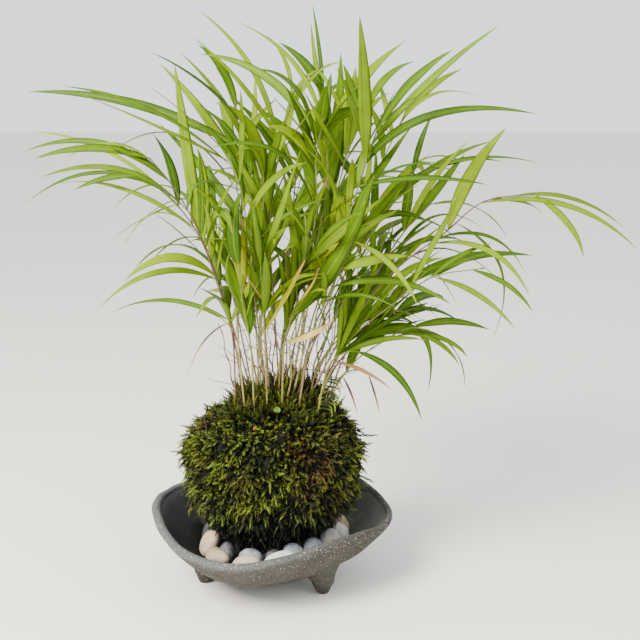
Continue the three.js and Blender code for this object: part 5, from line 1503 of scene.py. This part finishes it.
# The leaflets hang this far under the stalk's end. Their rings are a share of the radius and a lift.
PERCH_DROP = 0.6
LEAFLET_RADIUS = 1.9
LEAFLET_TURNS = (-110, 5, 170)
LEAFLET_SIDES = 28
LEAFLET_RINGS = ((0.35, 0), (0.7, 0.05), (0.95, 0.16), (1, 0.24), (0.95, 0.3), (0.7, 0.2), (0.35, 0.14))
LEAFLET_SKIN = 0.12
NOTCH_DEPTH = 0.3
NOTCH_REACH = 0.4


def leaflet(perch, turn):
    """A round leaflet, notched at its outer end and cupped: rings out below and back in above."""
    out = around(turn, 1, 0)
    side = np.array([-out[1], out[0], 0])
    over = unit(out * 0.9 + [0, 0, 1])
    level = unit(out - (out @ over) * over)
    angle = np.linspace(0, 2 * np.pi, LEAFLET_SIDES, endpoint=False)
    notch = 1 - NOTCH_DEPTH * np.exp(-((np.angle(np.exp(1j * angle)) / NOTCH_REACH) ** 2))
    middle = perch + LEAFLET_RADIUS * level
    rings = []
    for share, lift in LEAFLET_RINGS:
        radius = LEAFLET_RADIUS * share * notch[:, None]
        flat = radius * (np.cos(angle)[:, None] * level + np.sin(angle)[:, None] * side)
        rings.append(middle + flat + lift * over)
    ends = [middle, middle + LEAFLET_SKIN * over]
    return shell(np.concatenate([*rings, ends])[None], lathe_faces(len(rings), LEAFLET_SIDES), tip=1.0)


# Its skin: thin, fresh light green, a little glossy, with light through it.
def seedling_finish():
    skin = new_material("seedling_leaf_living")
    place = add(skin, "TexCoord").outputs["Object"]
    # Soft mottles 1 mm wide.
    mottle = add(skin, "TexNoise", {"Vector": place, "Scale": 900, "Detail": 2})
    leafy = add(skin, "Attribute", attribute_name="tip").outputs["Fac"]
    green = add(skin, "ValToRGB", {"Fac": mottle}, stops=[(0.35, "#4d7a1f"), (0.65, "#739a34")])
    stalk = add(skin, "MapRange", {"Value": leafy, 1: 0.5, 3: 0.85, 4: 0.0})
    colour = add(skin, "Mix", {0: stalk, 6: green, 7: "#3a3a14"}, data_type="RGBA")
    rough = add(skin, "MapRange", {"Value": mottle, 3: 0.35, 4: 0.5})
    finish_of(skin, colour, rough, mottle, 0.00005, IOR=1.4)
    return glowing(skin, 0.3, colour)


ground = crown_height(SEEDLING_X, SEEDLING_Y)
stalk_foot = np.array([SEEDLING_X, SEEDLING_Y, ground - SEEDLING_SUNK])
stalk_top = np.array([SEEDLING_X, SEEDLING_Y + SEEDLING_LEAN, ground + SEEDLING_TALL])
line = stalk_foot + np.linspace(0, 1, STALK_RINGS)[:, None] * (stalk_top - stalk_foot)
stalk = tube(line, np.full(STALK_RINGS, STALK_RADIUS), STALK_SIDES)
stalk = shell(stalk[None], lathe_faces(STALK_RINGS, STALK_SIDES), tip=0.5)
leaflets = [leaflet(stalk_top + [0, 0, -PERCH_DROP], math.radians(turn)) for turn in LEAFLET_TURNS]
piece("seedling_leaves", [stalk, *leaflets], [seedling_finish()], "seedling", ["seedling"])


# What has fallen on the moss or died in it: a thin black twig on the left shoulder, a dead stub by the
# grass, a wiry root that has come loose on the left, and an orange bud scale. Places are as the eye
# sees them; the stub's and the root's have their depth too.
TWIG_LINE = ((-35.5, 98.5), (-36.2, 93), (-35.6, 87), (-35, 81), (-34.6, 76))
STUB_LINE = ((-16.5, 101, -16), (-17.8, 107, -17), (-17, 112, -17), (-18, 117, -18))
ROOT_LINE = ((-44, 68, 0), (-48.5, 69.8, -2), (-51.3, 68, -3), (-52, 64, -4), (-49, 60.3, -5), (-46, 58, -6))
BUD_PLACE = (-7.9, 87.6)
# How thick each strand is at its foot, how much thinner at its end, and how far off the moss it lies.
TWIG_RADIUS = 0.5
STUB_RADIUS = 0.45
ROOT_RADIUS = 0.28
STRAND_TAPER = 0.4
STRAND_RINGS = 24
STRAND_SIDES = 8
TWIG_LIFT = 1.6
BUD_LIFT = 2.2
# The bud's half length as a step along its axis, its radius at the ends, and how much thicker it is in
# the middle.
BUD_AXIS = (0.5, -0.2, 1.5)
BUD_RADII = (0.15, 0.85)
BUD_RINGS = 11
BUD_SIDES = 12


# Dead bark, damp and nearly black; a bud scale is thin, dry and orange brown.
def litter_finish(name, low, high, size):
    litter = new_material(name)
    place = add(litter, "TexCoord").outputs["Object"]
    # Blotches of this many millimetres.
    blotch = add(litter, "TexNoise", {"Vector": place, "Scale": 1000 / size, "Detail": 3})
    colour = add(litter, "ValToRGB", {"Fac": blotch}, stops=[(0.35, low), (0.65, high)])
    rough = add(litter, "MapRange", {"Value": blotch, 3: 0.6, 4: 0.8})
    return finish_of(litter, colour, rough, blotch, 0.0001, Specular_IOR_Level=0.25)


strands = (
    ([on_moss(x, z, TWIG_LIFT) for x, z in TWIG_LINE], TWIG_RADIUS),
    ([seen(*place) for place in STUB_LINE], STUB_RADIUS),
    ([seen(*place) for place in ROOT_LINE], ROOT_RADIUS),
)
step = np.linspace(0, 1, STRAND_RINGS)
twigs = [
    tube(curve_at(np.array(line), step), radius * (1 - STRAND_TAPER * step), STRAND_SIDES)
    for line, radius in strands
]
bark = litter_finish("twig_bark_damp", "#14100d", "#2b231d", 1.5)
piece("twigs", [shell(np.stack(twigs), lathe_faces(STRAND_RINGS, STRAND_SIDES))], [bark], "moss")
rise = np.linspace(-1, 1, BUD_RINGS)
line = on_moss(*BUD_PLACE, BUD_LIFT) + rise[:, None] * BUD_AXIS
bud = tube(line, BUD_RADII[0] + BUD_RADII[1] * (1 - rise**2) ** 0.6, BUD_SIDES)
scale = litter_finish("bud_scale_dry", "#4a2410", "#8f5020", 1.0)
piece("bud", [shell(bud[None], lathe_faces(BUD_RINGS, BUD_SIDES))], [scale], "moss")


# The stand: a plain pale floor, soft daylight from the upper left and a pale room round it, seen
# from a little above, as the photograph was taken.

# How far the eye looks down, in degrees, and its lens and sensor; the floor's half width in metres;
# and the place that the lamps are turned to.
EYE_PITCH = 11.6
PHOTO_LENS = 65.64
SENSOR_WIDTH = 36
FLOOR_HALF = 6
LAMP_AIM = (10, 0, 150)


def stage_floor():
    """A pale matt floor that runs far past the frame."""
    mesh = bpy.data.meshes.new("floor")
    corners = [(x * FLOOR_HALF, y * FLOOR_HALF, 0) for x, y in ((-1, -1), (1, -1), (1, 1), (-1, 1))]
    mesh.from_pydata(corners, [], [(0, 1, 2, 3)])
    floor = bpy.data.objects.new("floor", mesh)
    bpy.context.scene.collection.objects.link(floor)
    paint = new_material("floor_matt_paint")
    plug(paint.node_tree.nodes["Principled BSDF"], {"Base Color": "#eae7de", "Roughness": 0.8})
    mesh.materials.append(paint)


def soft_light(name, place, size, power, colour):
    """A square lamp of a size in metres at a place in millimetres, turned to the plant's middle."""
    lamp = bpy.data.lights.new(name, "AREA")
    lamp.size, lamp.energy, lamp.color = size, power, linear(colour)[:3]
    made = bpy.data.objects.new(name, lamp)
    made.location = placed(place)
    way = Vector(placed(LAMP_AIM) - placed(place))
    made.rotation_euler = way.to_track_quat("-Z", "Y").to_euler()
    bpy.context.scene.collection.objects.link(made)


stage_floor()
soft_light("window", (-500, -600, 780), 0.45, 34, "#fff8ee")
soft_light("fill", (700, -600, 420), 0.8, 3, "#eef4ff")
world = bpy.data.worlds.new("pale_room")
world.use_nodes = True
plug(world.node_tree.nodes["Background"], {"Color": "#eef2f5", "Strength": 1.9})
bpy.context.scene.world = world

camera = bpy.data.objects.new("camera", bpy.data.cameras.new("camera"))
camera.data.lens = PHOTO_LENS
camera.data.sensor_width = SENSOR_WIDTH
camera.data.clip_start = 0.01
camera.location = placed(EYE)
camera.rotation_euler = (math.radians(90 - EYE_PITCH), 0, 0)
bpy.context.scene.collection.objects.link(camera)
bpy.context.scene.camera = camera
